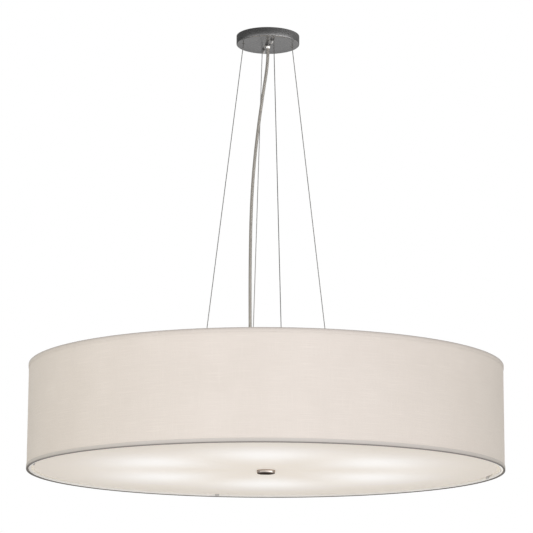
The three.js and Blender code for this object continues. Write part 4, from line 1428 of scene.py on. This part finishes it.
def makeBulbs(base, length, pitch, threadDepth, steps):
    tip, neck = glass["tip"], glass["neck"]
    shellLow = tip + 0.0032
    shellHigh = tip + length + 0.0004
    globe = turnPiece("bulbGlobe", glassRings(shellHigh, **glass), steps)
    rings = [(base - 0.0022, shellLow), (base - 0.0009, shellLow + 0.0012)]
    height = shellLow + 0.0016
    while height < shellHigh - 0.003:
        wave = math.cos(2 * math.pi * (height - shellLow) / pitch)
        rings.append((base - threadDepth * (0.5 + 0.5 * wave), height))
        height += pitch / 8
    rings += [
        (base - 0.0004, shellHigh - 0.0022), (base - 0.0004, shellHigh), (neck + 0.0002, shellHigh + 0.0008),
        (neck - 0.001, shellHigh + 0.0006),
    ]
    shell = paint(turnPiece("bulbBase", rings, steps), "shellNickel")
    rings = [
        (0.0042, tip + 0.0012), (0.006, tip + 0.0014), (base - 0.0026, shellLow - 0.0001),
        (base - 0.0022, shellLow + 0.0006),
    ]
    insulator = paint(turnPiece("insulator", rings, 48), "wireBlack")
    rings = [(0.0012, tip), (0.003, tip + 0.0002), (0.0039, tip + 0.0008), (0.004, tip + 0.0014)]
    contact = paint(turnPiece("contact", rings, 32), "shellNickel")
    joinPieces(shell, [insulator, contact])
    for name, piece, material in (("bulbGlobe", globe, "lampGlass"), ("bulbBase", shell, None)):
        lay(piece, 0, 0, lampAxis)
        dressRound(piece, lampAngles, name, "bulb_{}", material, "lamp_globe", "lamp_{}", angle=40)


makeBulbs(**lampBase)
print("lamps made")

# Wiring in the pan: two loops with a lead to each lampholder, fed from the cord's end.
wiring = {
    "loop": 0.116, "steps": 120, "wire": 0.0009, "sides": 8, "step": 0.002, "gap": 0.0021,
    "apart": 0.0012, "cordEnd": -0.7343, "nippleEnd": 0.1382,
}


def makeWiring(loop, steps, wire, sides, step, gap, apart, cordEnd, nippleEnd):
    toward = math.atan2(cordOut[1], cordOut[0])
    for side, name, material in ((1, "liveWiring", "wireBlack"), (-1, "neutralWiring", "wireWhite")):
        height = lampAxis + side * gap / 2
        reach = loop + side * apart
        circle = [Vector((*onCircle(reach, 2 * math.pi * k / steps), height)) for k in range(steps)]
        parts = [tubeAlong(name, circle + [circle[0].lerp(circle[1], 0.02)], wire, sides)]
        for angle in lampAngles:
            turns = ((reach, -0.12), (reach + 0.0015, -0.06), (reach + 0.009, -0.01), (nippleEnd, 0))
            marks = [(*onCircle(out, angle + turn), height) for out, turn in turns]
            parts.append(tubeAlong("lead", curvePoints(marks, step), wire, sides))
        x, y, z = cordOut[0], cordOut[1] + side * wire, cordEnd
        marks = [
            (x, y, z), (x, y, z - 0.005), (*onCircle(0.045, toward), height + 0.001),
            (*onCircle(0.08, toward), height), (*onCircle(reach - 0.01, toward), height),
            (*onCircle(reach, toward + 0.06), height),
        ]
        parts.append(tubeAlong("feed", curvePoints(marks, step), wire, sides))
        dress(joinPieces(parts[0], parts[1:]), "pendant", material, "wire_insulation", "wiring_harness")


makeWiring(**wiring)

# Centre rod, its nuts, and the stop nut over the diffuser.
rod = {
    "radius": 0.00485, "pitch": 0.0015, "thread": 0.0006, "steps": 28, "bore": 0.00533, "corner": 0.01,
    "flange": 0.02, "flangeHeight": 0.0016, "edge": 0.0004,
}


def makeRod(bore, corner, flange, edge, radius, pitch, thread, steps, flangeHeight):
    rings = threadRings(radius, *heights("centre_rod"), pitch, thread)
    piece = turnPiece("centreRod", rings, steps)
    dress(piece, "pendant", "zincPlate", "frame_steel", "centre_rod", angle=35)
    for name, node in (("rodNutUpper", "rod_nut_upper"), ("rodNutLower", "rod_nut_lower")):
        nut = makeNut(name, corner, bore, *heights(node))
        dress(nut, "pendant", "zincPlate", "zinc_plated_steel", node, angle=25)
    low, high = heights("stop_nut")
    top = low + flangeHeight
    rings = [
        (bore, low), (flange - edge, low), (flange, low + edge), (flange, top - edge), (flange - 0.0006, top),
        (corner, top), (bore, top),
    ]
    plate = turnPiece("stopNut", rings, 72, hollow=True)
    joinPieces(plate, [makeNut("hexagon", corner, bore, top - 0.0001, high)])
    dress(plate, "pendant", "whiteEnamel", "white_enamel", "stop_nut", angle=30)


makeRod(**rod)
print("rod and nuts made")

stage = {
    "height": -2.6, "size": 30.0, "white": (0.86, 0.855, 0.845, 1), "roughness": 0.7, "ripple": 3.0,
    "relief": 0.0005,
}
around = (0.62, 0.61, 0.59, 1)


def mixShaders(amount, first, second):
    return chain("ShaderNodeMixShader", (amount, first, second)).outputs[0]


# Lets a view from under the floor see through it.
def openBelow(material):
    nodes = material.node_tree.nodes
    below = addNode(material.node_tree, "ShaderNodeNewGeometry").outputs["Backfacing"]
    clear = addNode(material.node_tree, "ShaderNodeBsdfTransparent").outputs[0]
    mixed = mixShaders(below, nodes["Principled BSDF"].outputs[0], clear)
    feed(mixed, nodes["Material Output"].inputs["Surface"])


def makeStage(height, size, white, roughness, ripple, relief):
    floor = startPiece("studioFloor", bpy.ops.mesh.primitive_plane_add, size=size)
    shift(floor, 0, 0, height)
    makePaint("floorPaint", white, roughness, ripple, relief)
    paint(floor, "floorPaint")
    openBelow(bpy.data.materials["floorPaint"])
    floor.visible_glossy = False


# Brightness by height for the world that metal and gloss reflect, ahead of the camera and behind it.
mirrored = {
    "far": [
        (0.0, 0.1), (0.2, 0.25), (0.3, 0.55), (0.38, 0.5),
        (0.43, 0.03), (0.5, 0.02), (0.6, 0.14), (1.0, 0.3),
    ],
    "near": [
        (0.0, 0.1), (0.3, 0.12), (0.41, 0.5), (0.45, 1.0),
        (0.52, 2.0), (0.56, 1.6), (0.605, 0.12), (1.0, 0.2),
    ],
    "sides": [(0.0, 0.75), (0.5, 1.0), (1.0, 1.9)],
    "blend": 0.25,
}


def greyRamp(place, stops):
    ramp = chain("ShaderNodeValToRGB", [place])
    while len(ramp.color_ramp.elements) < len(stops):
        ramp.color_ramp.elements.new(0.5)
    for element, (position, value) in zip(ramp.color_ramp.elements, stops):
        element.position = position
        element.color = (value, value, value, 1)
    return ramp.outputs[0]


# White to the camera, an even grey for soft light, and grey bands for what metal reflects.
def makeWorld(around, far, near, sides, blend):
    world = bpy.data.worlds.new("studio")
    bpy.context.scene.world = world
    world.use_nodes = True
    tree = world.node_tree
    tree.nodes.clear()
    x, y, z = partsOf(addNode(tree, "ShaderNodeTexCoord").outputs["Generated"])
    height = clampTo(z, -1.0, 1.0)
    bands = mixColours(clampTo(y, -blend, blend), greyRamp(height, near), greyRamp(height, far))
    grey = times(bands, greyRamp(clampTo(x, -1.0, 1.0), sides))
    mirror, soft, seen = (
        addNode(tree, "ShaderNodeBackground", {"Color": colour}).outputs[0]
        for colour in (vectorOf(grey, grey, grey), around, (1, 1, 1, 1))
    )
    rays = addNode(tree, "ShaderNodeLightPath").outputs
    mixed = mixShaders(rays["Is Camera Ray"], mixShaders(rays["Is Glossy Ray"], soft, mirror), seen)
    addNode(tree, "ShaderNodeOutputWorld", {"Surface": mixed})


softboxes = {
    "frontBox": {"place": (-0.3, -4.6, -0.2), "size": (2.6, 2.0), "power": 112, "colour": (0.79, 0.81, 1)},
    "leftBox": {"place": (-3.4, -1.6, -0.4), "size": (1.4, 2.2), "power": 6, "colour": (1, 0.88, 0.45)},
    "rightBox": {"place": (3.4, -1.6, -0.4), "size": (1.4, 2.2), "power": 13, "colour": (0.9, 0.87, 1)},
    "backBox": {"place": (0.6, 4.4, -0.1), "size": (2.6, 2.0), "power": 45, "colour": (0.85, 0.86, 1)},
}


def addSoftbox(name, place, size, power, colour, target=(0, 0, -0.7)):
    data = bpy.data.lights.new(name, "AREA")
    data.shape = "RECTANGLE"
    data.size, data.size_y = size
    data.energy = power
    data.color = colour
    light = addObject(name, data)
    light.location = place
    light.rotation_euler = (Vector(target) - light.location).to_track_quat("-Z", "Y").to_euler()
    light.visible_camera = False
    light.visible_glossy = False


makeStage(**stage)
makeWorld(around, **mirrored)
for name, softbox in softboxes.items():
    addSoftbox(name, **softbox)
bpy.context.scene.view_settings.view_transform = "Standard"
print("stage made")
